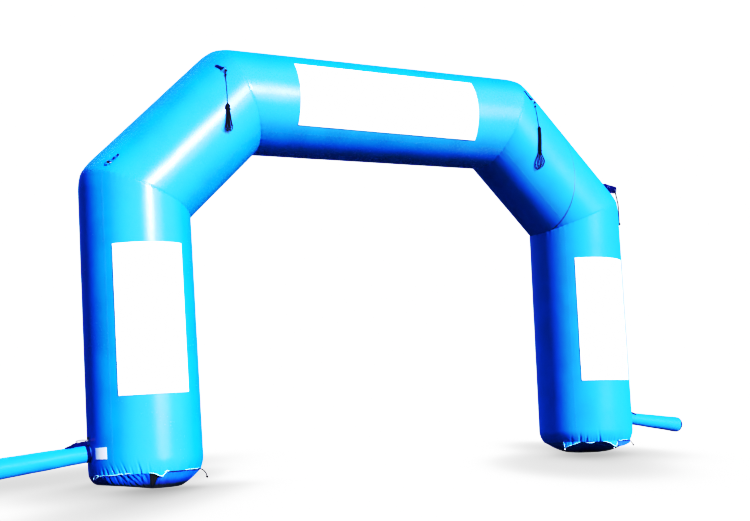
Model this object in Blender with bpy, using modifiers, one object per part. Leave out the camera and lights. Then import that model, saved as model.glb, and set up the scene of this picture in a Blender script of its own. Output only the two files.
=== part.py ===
"""Inflatable arch: five mitred tube lengths on two gathered feet, with banner panels, air sleeves and guy points.

Metres, +Z up. The origin is on the ground, midway between the legs and on the tube's centre plane.
The front faces -Y. Angles round the tube are degrees from the front, growing towards the arch's outer side.
"""

import math
from collections import namedtuple

import bmesh
import bpy
from mathutils import Vector

# Tube
TUBE_RADIUS = 0.60
TUBE_SIDES = 48
FOOT_HALF_SPACING = 2.965
SHOULDER_HALF_SPACING = 3.04
SHOULDER_HEIGHT = 3.145
CROWN_HALF_SPACING = 1.86
CROWN_HEIGHT = 4.345
CROWN_TILT = 0.02  # the crown's left corner sits this much lower, its right corner this much higher
CORNER_PULL = 0.026  # how far tension draws in the outer side of a mitred corner
CORNER_REACH = 0.20
CORNER_STEPS = (0.0, 0.04, 0.10, CORNER_REACH)
GAP = 0.0003  # between neighbouring pieces
FRONT = Vector((0.0, -1.0, 0.0))

# Feet. Each leg widens by its flare towards the ground, then gathers in to the hem. The base cloth bulges from
# the hem ring down to a contact patch, an ellipse. The shifts are outwards, and then towards the back.
Foot = namedtuple("Foot", "flare hem_height hem_radius hem_shift contact_radii contact_shift")
FEET = {
    "left": Foot(0.006, 0.140, 0.582, 0.014, contact_radii=(0.290, 0.470), contact_shift=(0.010, -0.120)),
    "right": Foot(0.007, 0.160, 0.555, 0.006, contact_radii=(0.250, 0.250), contact_shift=(0.130, 0.140)),
}
HEM_REACH = 0.15
HEM_STEPS = (0.0, 0.02, 0.05, 0.09, HEM_REACH)
BASE_STEPS = 5

# Banner panels and the care patch
PANEL_HALF_ANGLE = 40.0
PANEL_THICKNESS = 0.0015
LEG_PANEL_BOTTOM = 0.940
LEG_PANEL_TOP = 2.545
CROWN_PANEL_HALF_LENGTH = 1.225
PATCH_HEIGHTS = (0.315, 0.435)
PATCH_ANGLES = (56.5, 73.5)
PATCH_THICKNESS = 0.001

# Air sleeves: root_height on the leg's outer side, drop and growth for each metre of length
Sleeve = namedtuple("Sleeve", "root_height drop root_radius growth length")
SLEEVES = {
    "left": Sleeve(root_height=0.377, drop=0.111, root_radius=0.088, growth=0.020, length=1.05),
    "right": Sleeve(root_height=0.440, drop=0.145, root_radius=0.072, growth=0.029, length=1.030),
}
SLEEVE_SIDES = 24
SLEEVE_WALL = 0.003
MOUTH_DEPTH = 0.30
END_ROUND = 0.07
END_FLAT_RADIUS = 0.045
END_PATCH_RADIUS = 0.042
END_PATCH_THICKNESS = 0.002

# Webbing
WEBBING_WIDTH = 0.048
WEBBING_THICKNESS = 0.002
TAB_THICKNESS = 2.0 * WEBBING_THICKNESS
BARREL_RADIUS = 0.0072
BARREL_HOLE = 0.0045
# The sleeve ties: distance out along the sleeve and height above its top, from the sewn end to the free one
TIE_COURSES = {
    "left": (
        (0.000, 0.085),
        (0.000, 0.058),
        (0.006, 0.046),
        (0.030, 0.041),
        (0.070, 0.044),
        (0.115, 0.041),
        (0.155, 0.027),
        (0.195, 0.009),
        (0.235, 0.000),
    ),
    "right": (
        (0.000, 0.055),
        (0.000, 0.030),
        (0.005, 0.018),
        (0.020, 0.009),
        (0.045, 0.004),
        (0.070, 0.000),
    ),
}

# Anchor tabs: station along the tube length and angle where the strip's sewn end lies, and its heading from
# the length's axis towards the outer side. The twisted one turns on edge towards its ring.
Anchor = namedtuple("Anchor", "length station angle heading strip twist")
ANCHORS = {
    "crown_left": Anchor("diagonal_left", 1.630, 47.5, -90.0, strip=0.118, twist=0.0),
    "crown_right": Anchor("diagonal_right", -0.095, 33.75, -15.0, strip=0.100, twist=0.0),
    "shoulder_left": Anchor("diagonal_left", 0.060, 48.75, 180.0, strip=0.120, twist=0.0),
    "shoulder_right": Anchor("diagonal_right", 1.555, 48.75, 0.0, strip=0.165, twist=75.0),
}
TAB_STEP = 0.014
TAB_LIFT = 0.012  # how far a tab's free end stands off the tube
RING_HALF_WIDTH = 0.0295
RING_DEPTH = 0.036
RING_WIRE = 0.003
RING_STEPS = 12
RING_RISE = 0.022  # lifts a tab that turns on edge, so that its ring clears the tube

# Cords and hanks
CORD_RADIUS = 0.003
CORD_SPACING = 0.018
HANK_HALF_THICKNESS = 0.015
HankRow = namedtuple("HankRow", "drop half_width shift")
GUYS = {
    "left": {
        "hank_x": -2.142,
        "hank_top": 4.120,
        "rows": (
            HankRow(0.000, 0.008, 0.000),
            HankRow(0.018, 0.018, -0.004),
            HankRow(0.045, 0.019, -0.005),
            HankRow(0.080, 0.015, 0.001),
            HankRow(0.130, 0.022, 0.003),
            HankRow(0.200, 0.027, 0.003),
            HankRow(0.270, 0.029, 0.004),
            HankRow(0.310, 0.022, 0.007),
            HankRow(0.330, 0.010, 0.006),
        ),
    },
    "right": {
        "hank_x": 2.113,
        "hank_top": 4.205,
        "rows": (
            HankRow(0.000, 0.008, 0.002),
            HankRow(0.018, 0.020, 0.000),
            HankRow(0.100, 0.023, -0.001),
            HankRow(0.200, 0.026, -0.003),
            HankRow(0.300, 0.028, -0.004),
            HankRow(0.380, 0.033, -0.007),
            HankRow(0.450, 0.044, -0.010),
            HankRow(0.500, 0.045, -0.018),
            HankRow(0.545, 0.026, -0.036),
            HankRow(0.570, 0.010, -0.048),
        ),
    },
}
SHOULDER_CORD_ANGLE = 49.0
SHOULDER_CORD_BOTTOM = 3.025
# Drawcords: the angles between which the cord lies along the hem, then the dangling end's steps out and down
Drawcord = namedtuple("Drawcord", "first_angle last_angle end")
DRAWCORDS = {
    "left": Drawcord(-6.0, -63.0, ((0.012, -0.005), (0.036, -0.020), (0.062, -0.052), (0.074, -0.092))),
    "right": Drawcord(6.0, 50.0, ((0.010, -0.012), (0.021, -0.029), (0.032, -0.046), (0.040, -0.060))),
}

CLOTH = (0.01, 0.42, 0.86, 1.0)
BASE_CLOTH = (0.01, 0.10, 0.45, 1.0)
WHITE = (0.88, 0.89, 0.90, 1.0)
NAVY = (0.01, 0.015, 0.12, 1.0)
METAL = (0.60, 0.62, 0.65, 1.0)
CORD_BLACK = (0.015, 0.015, 0.03, 1.0)


def clear_scene():
    """Removes every object that is already in the file."""
    for thing in list(bpy.data.objects):
        bpy.data.objects.remove(thing, do_unlink=True)


def add_collection(name):
    collection = bpy.data.collections.new(name)
    bpy.context.scene.collection.children.link(collection)
    return collection


def surface_material(name, colour, roughness, metallic=0.0):
    material = bpy.data.materials.new(name)
    material.use_nodes = True
    shader = material.node_tree.nodes["Principled BSDF"]
    shader.inputs["Base Color"].default_value = colour
    shader.inputs["Roughness"].default_value = roughness
    shader.inputs["Metallic"].default_value = metallic
    return material


def add_piece(name, mesh, colour, roughness=0.35, metallic=0.0):
    """Links a mesh or curve as one piece of the arch, with its own material."""
    piece = bpy.data.objects.new(name, mesh)
    mesh.materials.append(surface_material(name, colour, roughness, metallic))
    ARCH.objects.link(piece)
    return piece


def mesh_from(bm, name, smooth=True):
    """Turns a bmesh into a mesh whose faces point outwards."""
    bmesh.ops.recalc_face_normals(bm, faces=bm.faces)
    if bm.calc_volume(signed=True) < 0.0:
        bmesh.ops.reverse_faces(bm, faces=bm.faces)
    mesh = bpy.data.meshes.new(name)
    bm.to_mesh(mesh)
    bm.free()
    if smooth:
        mesh.shade_smooth()
        mesh.set_sharp_from_angle(angle=math.radians(40.0))
    return mesh


def placed_cylinder(name, sides, rows, place):
    """A cylinder primitive cut into rows of vertices, each moved to place(row, angle)."""
    bm = bmesh.new()
    bmesh.ops.create_cone(bm, cap_ends=True, segments=sides, radius1=1.0, radius2=1.0, depth=1.0)
    rails = [edge for edge in bm.edges if abs(edge.verts[0].co.z - edge.verts[1].co.z) > 0.5]
    spans = len(rows) - 1
    if spans > 1:
        bmesh.ops.subdivide_edges(bm, edges=rails, cuts=spans - 1, use_grid_fill=True)
    for vertex in bm.verts:
        row = rows[round((vertex.co.z + 0.5) * spans)]
        vertex.co = place(row, math.atan2(vertex.co.y, vertex.co.x))
    return mesh_from(bm, name)


def placed_grid(name, columns, rows, place):
    """A grid primitive whose vertices go to place(column, row)."""
    bm = bmesh.new()
    spans = (len(columns) - 1, len(rows) - 1)
    bmesh.ops.create_grid(bm, x_segments=spans[0], y_segments=spans[1], size=0.5)
    for vertex in bm.verts:
        column = columns[round((vertex.co.x + 0.5) * spans[0])]
        row = rows[round((vertex.co.y + 0.5) * spans[1])]
        vertex.co = place(column, row)
    return mesh_from(bm, name)


def add_sheet(name, columns, rows, place, thickness, colour, roughness, outward):
    """Adds a thin sheet whose inner face is the placed grid; outward(centre) says which way it grows."""
    mesh = placed_grid(name, columns, rows, place)
    centre = sum((v.co for v in mesh.vertices), Vector()) / len(mesh.vertices)
    if sum(p.area * p.normal.dot(outward(centre)) for p in mesh.polygons) < 0.0:
        mesh.flip_normals()
    piece = add_piece(name, mesh, colour, roughness)
    solidify = piece.modifiers.new("thickness", "SOLIDIFY")
    solidify.thickness = thickness
    solidify.offset = 1.0
    solidify.use_even_offset = True
    return piece


# The tube's centreline, foot to foot, and the frame of each straight length of it
CENTRELINE = (
    Vector((-FOOT_HALF_SPACING, 0.0, 0.0)),
    Vector((-SHOULDER_HALF_SPACING, 0.0, SHOULDER_HEIGHT)),
    Vector((-CROWN_HALF_SPACING, 0.0, CROWN_HEIGHT - CROWN_TILT)),
    Vector((CROWN_HALF_SPACING, 0.0, CROWN_HEIGHT + CROWN_TILT)),
    Vector((SHOULDER_HALF_SPACING, 0.0, SHOULDER_HEIGHT)),
    Vector((FOOT_HALF_SPACING, 0.0, 0.0)),
)
LENGTH_NAMES = ("leg_left", "diagonal_left", "crown_beam", "diagonal_right", "leg_right")


class TubeLength:
    """A straight length of tube, with its start, axis and outward direction, and how each end is cut."""

    def __init__(self, index):
        self.start, end = CENTRELINE[index], CENTRELINE[index + 1]
        self.axis = (end - self.start).normalized()
        self.span = (end - self.start).length
        self.outward = Vector((-self.axis.z, 0.0, self.axis.x))
        self.start_slope = self.mitre_slope(index - 1, index)
        self.end_slope = self.mitre_slope(index, index + 1)
        self.start_foot = FEET["left"] if index == 0 else None
        self.end_foot = FEET["right"] if index == len(LENGTH_NAMES) - 1 else None

    @staticmethod
    def mitre_slope(before, after):
        """The tangent of half the turn between two lengths, or None at a foot."""
        if before < 0 or after >= len(LENGTH_NAMES):
            return None
        axes = [(CENTRELINE[i + 1] - CENTRELINE[i]).normalized() for i in (before, after)]
        return math.tan(axes[0].angle(axes[1]) / 2.0)

    def at(self, distance, angle, radius):
        """The point at a distance along the axis, an angle round it in radians, and a radius."""
        across = FRONT * math.cos(angle) + self.outward * math.sin(angle)
        return self.start + self.axis * distance + across * radius

    @staticmethod
    def corner_pull(angle, distance):
        """How far the skin is drawn in at a distance from a mitre, straight between the corner's rows."""
        out = max(0.0, math.sin(angle))
        for near, far in zip(CORNER_STEPS, CORNER_STEPS[1:]):
            if near <= distance <= far:
                shares = [(1.0 - step / CORNER_REACH) ** 2 for step in (near, far)]
                mix = (distance - near) / (far - near)
                return CORNER_PULL * out * out * (shares[0] + (shares[1] - shares[0]) * mix)
        return 0.0

    def flared_radius(self, station):
        """The tube's radius at a station: a leg widens evenly towards its foot."""
        foot = self.start_foot or self.end_foot
        if not foot:
            return TUBE_RADIUS
        above_foot = self.span - station if self.end_foot else station
        return TUBE_RADIUS + foot.flare * (1.0 - above_foot / self.span)

    def skin_radius(self, station, angle):
        """The radius of the skin near a mitred end, at a station and an angle in radians."""
        reach = TUBE_RADIUS * math.sin(angle)
        ends = []
        if self.start_slope is not None:
            ends.append(station + reach * self.start_slope)
        if self.end_slope is not None:
            ends.append(self.span + reach * self.end_slope - station)
        return TUBE_RADIUS - max(self.corner_pull(angle, end) for end in ends)

    def place(self, row, angle):
        """Places a vertex of the tube's skin; row is (which end, distance from that end's cut)."""
        end, distance = row
        foot = self.start_foot if end == "start" else self.end_foot
        slope = self.start_slope if end == "start" else self.end_slope
        shift = 0.0
        if foot:
            along = foot.hem_height + GAP / 2.0 + distance
            along = along if end == "start" else self.span - along
            fade = max(0.0, 1.0 - distance / HEM_REACH) ** 2
            full = self.flared_radius(along)
            radius = full - (full - foot.hem_radius) * fade
            shift = foot.hem_shift * fade
        else:
            radius = TUBE_RADIUS
            for _ in range(2):
                along = distance + GAP / 2.0 / math.cos(math.atan(slope)) - radius * math.sin(angle) * slope
                along = along if end == "start" else self.span - along
                radius = self.flared_radius(along) - self.corner_pull(angle, distance)
        return self.at(along, angle, radius) + self.outward * shift


LENGTHS = {name: TubeLength(index) for index, name in enumerate(LENGTH_NAMES)}


def facet_share(angle):
    """How much of the tube's full radius is left at an angle in degrees, on the flats between its corners."""
    step = 360.0 / TUBE_SIDES
    off_middle = angle % step - step / 2.0
    return math.cos(math.radians(step / 2.0)) / math.cos(math.radians(off_middle))


def wrap_angles(low, high):
    """The angles from low to high at which a sheet on the tube bends: its edges and the facets' corners."""
    step = 360.0 / TUBE_SIDES
    inner = [k * step for k in range(math.ceil(low / step), math.floor(high / step) + 1)]
    return sorted({low, high, *inner})


def make_tube():
    """The five lengths of the tube, each closed by a flat face at its cuts."""
    for name, length in LENGTHS.items():
        start = HEM_STEPS if length.start_foot else CORNER_STEPS
        end = HEM_STEPS if length.end_foot else CORNER_STEPS
        rows = [("start", step) for step in start] + [("end", step) for step in reversed(end)]
        add_piece(name, placed_cylinder(name, TUBE_SIDES, rows, length.place), CLOTH, 0.12)


def make_base(side):
    """The round base cloth under a leg, bulging from the hem ring down to its flat contact patch."""
    foot = FEET[side]
    sign = -1.0 if side == "left" else 1.0
    leg = LENGTHS[f"leg_{side}"]
    hem_distance = foot.hem_height - GAP / 2.0
    along = hem_distance if side == "left" else leg.span - hem_distance
    out, back = foot.contact_shift
    centre = Vector((sign * (FOOT_HALF_SPACING + out), back, 0.0))

    def place(turn, angle):
        rim = leg.at(along, angle, foot.hem_radius) + leg.outward * foot.hem_shift
        across, ahead = foot.contact_radii
        ground = centre + Vector((sign * across * math.sin(angle), -ahead * math.cos(angle), 0.0))
        point = rim.lerp(ground, 1.0 - math.cos(turn))
        point.z = rim.z * math.cos(turn) ** 2
        return point

    turns = [math.pi / 2.0 * step / BASE_STEPS for step in range(BASE_STEPS + 1)]
    name = f"base_{side}"
    add_piece(name, placed_cylinder(name, TUBE_SIDES, turns, place), BASE_CLOTH, 0.30)


def make_tube_sheet(name, length, stations, angles, thickness, colour, roughness):
    """A thin sheet lying on a length of the tube, between two stations and two angles."""
    tube = LENGTHS[length]

    def place(angle, station):
        return tube.at(station, math.radians(angle), tube.flared_radius(station) * facet_share(angle) + GAP)

    def outward(centre):
        return centre - tube.start - tube.axis * (centre - tube.start).dot(tube.axis)

    columns = wrap_angles(*angles)
    add_sheet(name, columns, stations, place, thickness, colour, roughness, outward)


def make_panels():
    """The three banner panels on the front, and the care patch low on the left leg."""
    angles = (-PANEL_HALF_ANGLE, PANEL_HALF_ANGLE)
    heights = (LEG_PANEL_BOTTOM, LEG_PANEL_TOP)
    right = LENGTHS["leg_right"].span
    middle = LENGTHS["crown_beam"].span / 2.0
    stations = {
        "panel_leg_left": ("leg_left", heights),
        "panel_leg_right": ("leg_right", (right - heights[1], right - heights[0])),
        "panel_crown": ("crown_beam", (middle - CROWN_PANEL_HALF_LENGTH, middle + CROWN_PANEL_HALF_LENGTH)),
    }
    for name, (length, span) in stations.items():
        make_tube_sheet(name, length, span, angles, PANEL_THICKNESS, WHITE, 0.25)
    make_tube_sheet("care_patch", "leg_left", PATCH_HEIGHTS, PATCH_ANGLES, PATCH_THICKNESS, WHITE, 0.5)


def leg_face(side, height):
    """The x of the leg's outer side at a height."""
    sign = -1.0 if side == "left" else 1.0
    lean = (SHOULDER_HALF_SPACING - FOOT_HALF_SPACING) / SHOULDER_HEIGHT
    radius = TUBE_RADIUS + FEET[side].flare * (1.0 - height / SHOULDER_HEIGHT)
    return sign * (FOOT_HALF_SPACING + lean * height + radius / math.cos(math.atan(lean)))


def sleeve_centre(side, distance):
    """A point on the sleeve's centreline."""
    sign = -1.0 if side == "left" else 1.0
    sleeve = SLEEVES[side]
    root = Vector((leg_face(side, sleeve.root_height) + sign * GAP, 0.0, sleeve.root_height))
    return root + Vector((sign * distance, 0.0, -sleeve.drop * distance))


def sleeve_radius(side, distance):
    return SLEEVES[side].root_radius + SLEEVES[side].growth * distance


def sleeve_axes(side):
    """The directions along a sleeve, away from the leg, and square to it, upwards."""
    axis = Vector((-1.0 if side == "left" else 1.0, 0.0, -SLEEVES[side].drop)).normalized()
    return axis, Vector((axis.z * math.copysign(1.0, -axis.x), 0.0, abs(axis.x)))


def make_sleeve(name, side, profile):
    """An air sleeve from its flat root on the leg, through the profile's (distance, radius) rows."""
    sign = -1.0 if side == "left" else 1.0
    up = sleeve_axes(side)[1]

    def place(row, angle):
        distance, radius = row
        point = sleeve_centre(side, distance) + (FRONT * math.cos(angle) + up * math.sin(angle)) * radius
        if distance == 0.0:
            point.x = leg_face(side, point.z) + sign * GAP
        return point

    add_piece(name, placed_cylinder(name, SLEEVE_SIDES, profile, place), CLOTH, 0.15)


def make_sleeves():
    """The blower sleeve with its open mouth, and the spare one with its rounded end and end patch."""
    length = SLEEVES["left"].length
    outer = [(d, sleeve_radius("left", d)) for d in (0.0, 0.4 * length, 0.75 * length, length)]
    inner = [(d, sleeve_radius("left", d) - SLEEVE_WALL) for d in (length, length - MOUTH_DEPTH)]
    make_sleeve("blower_sleeve", "left", outer + inner)

    length = SLEEVES["right"].length
    straight = length - END_ROUND
    profile = [(d, sleeve_radius("right", d)) for d in (0.0, 0.4 * length, straight)]
    full = sleeve_radius("right", straight)
    for turn in (25.0, 50.0, 72.0, 90.0):
        turn = math.radians(turn)
        radius = END_FLAT_RADIUS + (full - END_FLAT_RADIUS) * math.cos(turn)
        profile.append((straight + END_ROUND * math.sin(turn), radius))
    make_sleeve("spare_sleeve", "right", profile)

    axis, up = sleeve_axes("right")
    start = sleeve_centre("right", length) + axis * GAP

    def place(depth, angle):
        across = FRONT * math.cos(angle) + up * math.sin(angle)
        return start + axis * depth + across * END_PATCH_RADIUS

    rows = [0.0, END_PATCH_THICKNESS]
    mesh = placed_cylinder("spare_sleeve_patch", SLEEVE_SIDES, rows, place)
    add_piece("spare_sleeve_patch", mesh, NAVY, 0.6)


def make_sleeve_tie(name, side):
    """The webbing tie sewn to the leg above a sleeve, humped over the sleeve's top."""
    sign = -1.0 if side == "left" else 1.0
    up = sleeve_axes(side)[1]

    def place(course, across):
        distance, height = course
        point = sleeve_centre(side, distance) + up * (sleeve_radius(side, distance) + GAP)
        point += Vector((0.0, across * WEBBING_WIDTH / 2.0, height))
        if distance == 0.0:
            point.x = leg_face(side, point.z) + sign * GAP
        return point

    def outward(_centre):
        return Vector((sign * 0.3, 0.0, 1.0))

    add_sheet(name, TIE_COURSES[side], (-1.0, 0.0, 1.0), place, WEBBING_THICKNESS, NAVY, 0.7, outward)


class AnchorFrame:
    """Where a tab's strip lies: maps (along the strip, height off the tube, across) to a point."""

    def __init__(self, anchor):
        self.anchor = anchor
        self.tube = LENGTHS[anchor.length]
        self.heading = math.radians(anchor.heading)

    def point(self, along, height, across):
        anchor = self.anchor
        free = max(0.0, (along - 0.3 * anchor.strip) / (0.7 * anchor.strip))
        turn = math.radians(anchor.twist) * min(1.0, free)
        height += TAB_LIFT * free * free
        rise = abs(math.sin(turn)) * (WEBBING_WIDTH / 2.0 + RING_RISE)
        width = across * math.cos(turn) - height * math.sin(turn)
        height = across * math.sin(turn) + height * math.cos(turn) + rise
        station = anchor.station + along * math.cos(self.heading)
        angle = math.radians(anchor.angle) + along * math.sin(self.heading) / TUBE_RADIUS
        radius = self.tube.skin_radius(station, angle) + 2.5 * GAP + height
        if abs(math.cos(self.heading)) > 0.5:
            radius -= TUBE_RADIUS * (1.0 - facet_share(math.degrees(angle)))
        tangent = self.tube.outward * math.cos(angle) - FRONT * math.sin(angle)
        side = tangent * math.cos(self.heading) - self.tube.axis * math.sin(self.heading)
        return self.tube.at(station, angle, radius) + side * width


def tab_section(strip):
    """The tab's side view as quads of (along, height): a doubled strip and the barrel at its end."""
    sewn = math.pi * 1.5 - math.acos(1.0 - TAB_THICKNESS / BARREL_RADIUS)
    turns = [sewn] + [math.pi * 1.5 + (sewn + math.pi * 0.5) * step / 8 for step in range(8)]
    rims = [[(strip + r * math.cos(a), BARREL_RADIUS + r * math.sin(a)) for a in turns]
            for r in (BARREL_RADIUS, BARREL_HOLE)]
    quads = [
        (rims[0][k - 1], rims[0][k], rims[1][k], rims[1][k - 1]) for k in range(len(turns))
    ]
    upper, lower = rims[0][0], rims[0][1]
    steps = round(strip / TAB_STEP)
    rungs = [((strip * k / steps, 0.0), (strip * k / steps, TAB_THICKNESS)) for k in range(steps)]
    rungs.append((lower, upper))
    quads += [(a[0], b[0], b[1], a[1]) for a, b in zip(rungs, rungs[1:])]
    return quads


def add_poly_spline(curve, points, cyclic):
    spline = curve.splines.new("POLY")
    spline.points.add(len(points) - 1)
    for target, point in zip(spline.points, points):
        target.co = (*point, 1.0)
    spline.use_cyclic_u = cyclic


def flat_outline_mesh(name, outlines, half_thickness):
    """A flat outline, with any holes, extruded both ways from its plane, as a welded mesh."""
    curve = bpy.data.curves.new(name, "CURVE")
    curve.dimensions = "2D"
    curve.fill_mode = "BOTH"
    curve.extrude = half_thickness
    for outline in outlines:
        add_poly_spline(curve, [(x, y, 0.0) for x, y in outline], True)
    guide = bpy.data.objects.new(name, curve)
    bpy.context.scene.collection.objects.link(guide)
    depsgraph = bpy.context.evaluated_depsgraph_get()
    mesh = bpy.data.meshes.new_from_object(guide.evaluated_get(depsgraph))
    bpy.data.objects.remove(guide, do_unlink=True)
    bm = bmesh.new()
    bm.from_mesh(mesh)
    bmesh.ops.remove_doubles(bm, verts=bm.verts, dist=0.00001)
    bpy.data.meshes.remove(mesh)
    return bm


def make_tab(name, frame):
    """A webbing tab: the strip sewn to the tube, and the barrel that holds its ring."""
    bm = bmesh.new()
    for quad in tab_section(frame.anchor.strip):
        bm.faces.new([bm.verts.new((along, height, -WEBBING_WIDTH / 2.0)) for along, height in quad])
    bmesh.ops.remove_doubles(bm, verts=bm.verts, dist=0.00001)
    bmesh.ops.recalc_face_normals(bm, faces=bm.faces)
    side = bmesh.ops.extrude_face_region(bm, geom=bm.faces[:], use_keep_orig=True)
    moved = [item for item in side["geom"] if isinstance(item, bmesh.types.BMVert)]
    bmesh.ops.translate(bm, verts=moved, vec=(0.0, 0.0, WEBBING_WIDTH))
    for vertex in bm.verts:
        vertex.co = frame.point(vertex.co.x, vertex.co.y, vertex.co.z)
    add_piece(name, mesh_from(bm, name, smooth=False), NAVY, 0.7)


def ring_path(frame):
    """The D-ring's centreline: a straight bar in the barrel and a half-round bow beyond it."""
    seat = frame.anchor.strip + BARREL_HOLE * math.cos(math.radians(20.0)) - RING_WIRE - GAP
    middle = frame.point(seat, BARREL_RADIUS, 0.0)
    across = frame.point(seat, BARREL_RADIUS, 0.01) - frame.point(seat, BARREL_RADIUS, -0.01)
    ahead = frame.point(seat + 0.01, BARREL_RADIUS, 0.0) - frame.point(seat - 0.01, BARREL_RADIUS, 0.0)
    across.normalize()
    ahead = (ahead - across * ahead.dot(across)).normalized()
    path = []
    for step in range(RING_STEPS + 1):
        angle = math.pi * step / RING_STEPS
        path.append(
            middle + across * RING_HALF_WIDTH * math.cos(angle) + ahead * (0.004 + RING_DEPTH * math.sin(angle))
        )
    path.append(middle - across * (RING_HALF_WIDTH - 0.003))
    path.append(middle + across * (RING_HALF_WIDTH - 0.003))
    return path


def add_tube(name, points, radius, colour, roughness, resolution=2, cyclic=False, metallic=0.0):
    """A round wire or cord along points."""
    curve = bpy.data.curves.new(name, "CURVE")
    curve.dimensions = "3D"
    curve.bevel_depth = radius
    curve.bevel_resolution = resolution
    curve.use_fill_caps = True
    add_poly_spline(curve, points, cyclic)
    return add_piece(name, curve, colour, roughness, metallic)


def smooth_path(route, spacing):
    """Points at an even spacing on a Catmull-Rom curve through the route's points."""
    ends = [route[0] * 2.0 - route[1], *route, route[-1] * 2.0 - route[-2]]
    fine = []
    parts = 24
    for p0, p1, p2, p3 in zip(ends, ends[1:], ends[2:], ends[3:]):
        for step in range(parts):
            t = step / parts
            fine.append(
                0.5
                * (
                    p1 * 2.0
                    + (p2 - p0) * t
                    + (p0 * 2.0 - p1 * 5.0 + p2 * 4.0 - p3) * t * t
                    + (p1 * 3.0 - p0 - p2 * 3.0 + p3) * t**3
                )
            )
    fine.append(route[-1])
    total = sum((b - a).length for a, b in zip(fine, fine[1:]))
    count = max(2, round(total / spacing))
    points, travelled, target = [fine[0]], 0.0, total / count
    for a, b in zip(fine, fine[1:]):
        step = (b - a).length
        while travelled + step >= target - 1e-9 and len(points) < count:
            points.append(a.lerp(b, (target - travelled) / step))
            target += total / count
        travelled += step
    points.append(fine[-1])
    return points


def on_diagonal(side, x, z, clearance):
    """The front of a diagonal at x and z, a clearance off its skin."""
    tube = LENGTHS[f"diagonal_{side}"]
    offset = Vector((x, 0.0, z)) - tube.start
    sideways = offset.dot(tube.outward)
    reach = TUBE_RADIUS + clearance
    return Vector((x, -math.sqrt(max(0.0, reach**2 - sideways**2)), z))


def from_ring(path, route):
    """The route of a cord that starts just off the middle of a ring's bow, square to its wire."""
    apex = path[RING_STEPS // 2]
    wire = (path[RING_STEPS // 2 + 1] - path[RING_STEPS // 2 - 1]).normalized()
    away = route[0] - apex
    away = (away - wire * away.dot(wire)).normalized()
    starts = [apex + away * reach for reach in (RING_WIRE + 2.5 * GAP, RING_WIRE + CORD_SPACING / 2.0)]
    return [*starts, *route]


def make_guy(side, ring):
    """A guy rope hung up for storage: the cord from its ring over the tube's front, and its hank."""
    guy = GUYS[side]
    top = guy["hank_top"]
    clearance = CORD_RADIUS + 0.002
    apex = ring[RING_STEPS // 2]
    end = Vector((guy["hank_x"], -TUBE_RADIUS - 2.0 * clearance, top + 2.0 * GAP))
    above = end + Vector((0.0, 0.0, 0.03))
    route = []
    for share in (0.2, 0.4, 0.6, 0.8):
        straight = apex.lerp(above, share)
        resting = on_diagonal(side, straight.x, straight.z, clearance)
        resting.y = min(resting.y, straight.y)
        route.append(resting)
    route = from_ring(ring, [*route, above, end])
    add_tube(f"guy_cord_{side}", smooth_path(route, CORD_SPACING), CORD_RADIUS, NAVY, 0.8)

    hank_y = -TUBE_RADIUS - GAP - HANK_HALF_THICKNESS
    rows = guy["rows"]
    outline = [(row.shift + row.half_width, -row.drop) for row in rows]
    outline += [(row.shift - row.half_width, -row.drop) for row in reversed(rows)]
    name = f"guy_hank_{side}"
    bm = flat_outline_mesh(name, [outline], HANK_HALF_THICKNESS)
    for vertex in bm.verts:
        vertex.co = Vector((guy["hank_x"] + vertex.co.x, hank_y + vertex.co.z, top + vertex.co.y))
    add_piece(name, mesh_from(bm, name, smooth=False), CORD_BLACK, 0.8)


def make_shoulder_cord(ring):
    """The short cord that hangs from the right shoulder's ring against the leg."""
    leg = LENGTHS["leg_right"]
    angle = math.radians(SHOULDER_CORD_ANGLE)
    reach = TUBE_RADIUS + CORD_RADIUS + 0.001
    heights = (3.295, 3.205, 3.115, SHOULDER_CORD_BOTTOM)
    route = from_ring(ring, [leg.at(leg.span - height, angle, reach) for height in heights])
    add_tube("shoulder_cord_right", smooth_path(route, CORD_SPACING), CORD_RADIUS, NAVY, 0.8)


def make_drawcord(side):
    """The cord that lies along a foot's hem and dangles at its end."""
    foot = FEET[side]
    drawcord = DRAWCORDS[side]
    leg = LENGTHS[f"leg_{side}"]
    along = foot.hem_height if side == "left" else leg.span - foot.hem_height
    reach = foot.hem_radius + CORD_RADIUS + 4.5 * GAP
    steps = 12
    route = []
    for step in range(steps + 1):
        turn = drawcord.first_angle + (drawcord.last_angle - drawcord.first_angle) * step / steps
        route.append(leg.at(along, math.radians(turn), reach) + leg.outward * foot.hem_shift)
    end = route[-1]
    away = (end - leg.start - leg.axis * along).normalized()
    route += [end + away * out + Vector((0.0, 0.0, drop)) for out, drop in drawcord.end]
    add_tube(f"drawcord_{side}", smooth_path(route, CORD_SPACING), CORD_RADIUS, CORD_BLACK, 0.8)


def make_guy_points():
    """The four tabs with their rings, and the cords that hang from three of them."""
    rings = {}
    for place, anchor in ANCHORS.items():
        frame = AnchorFrame(anchor)
        make_tab(f"tab_{place}", frame)
        rings[place] = ring_path(frame)
        add_tube(f"ring_{place}", rings[place], RING_WIRE, METAL, 0.25, resolution=1, cyclic=True, metallic=1.0)
    make_guy("left", rings["crown_left"])
    make_guy("right", rings["crown_right"])
    make_shoulder_cord(rings["shoulder_right"])


clear_scene()
ARCH = add_collection("inflatable_arch")
make_tube()
make_panels()
make_sleeves()
make_sleeve_tie("blower_sleeve_tie", "left")
make_sleeve_tie("spare_sleeve_tie", "right")
make_guy_points()
for foot_side in FEET:
    make_base(foot_side)
    make_drawcord(foot_side)
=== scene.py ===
"""The looks of an inflatable arch: coated cloth, bare banner panels, air sleeves, webbing and ropes.

Metres, +Z up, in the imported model's own frame: the front faces -Y and the blower sleeve is on the -X leg.
Angles round the tube are degrees from the front, growing towards the arch's outer side.
"""

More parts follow.
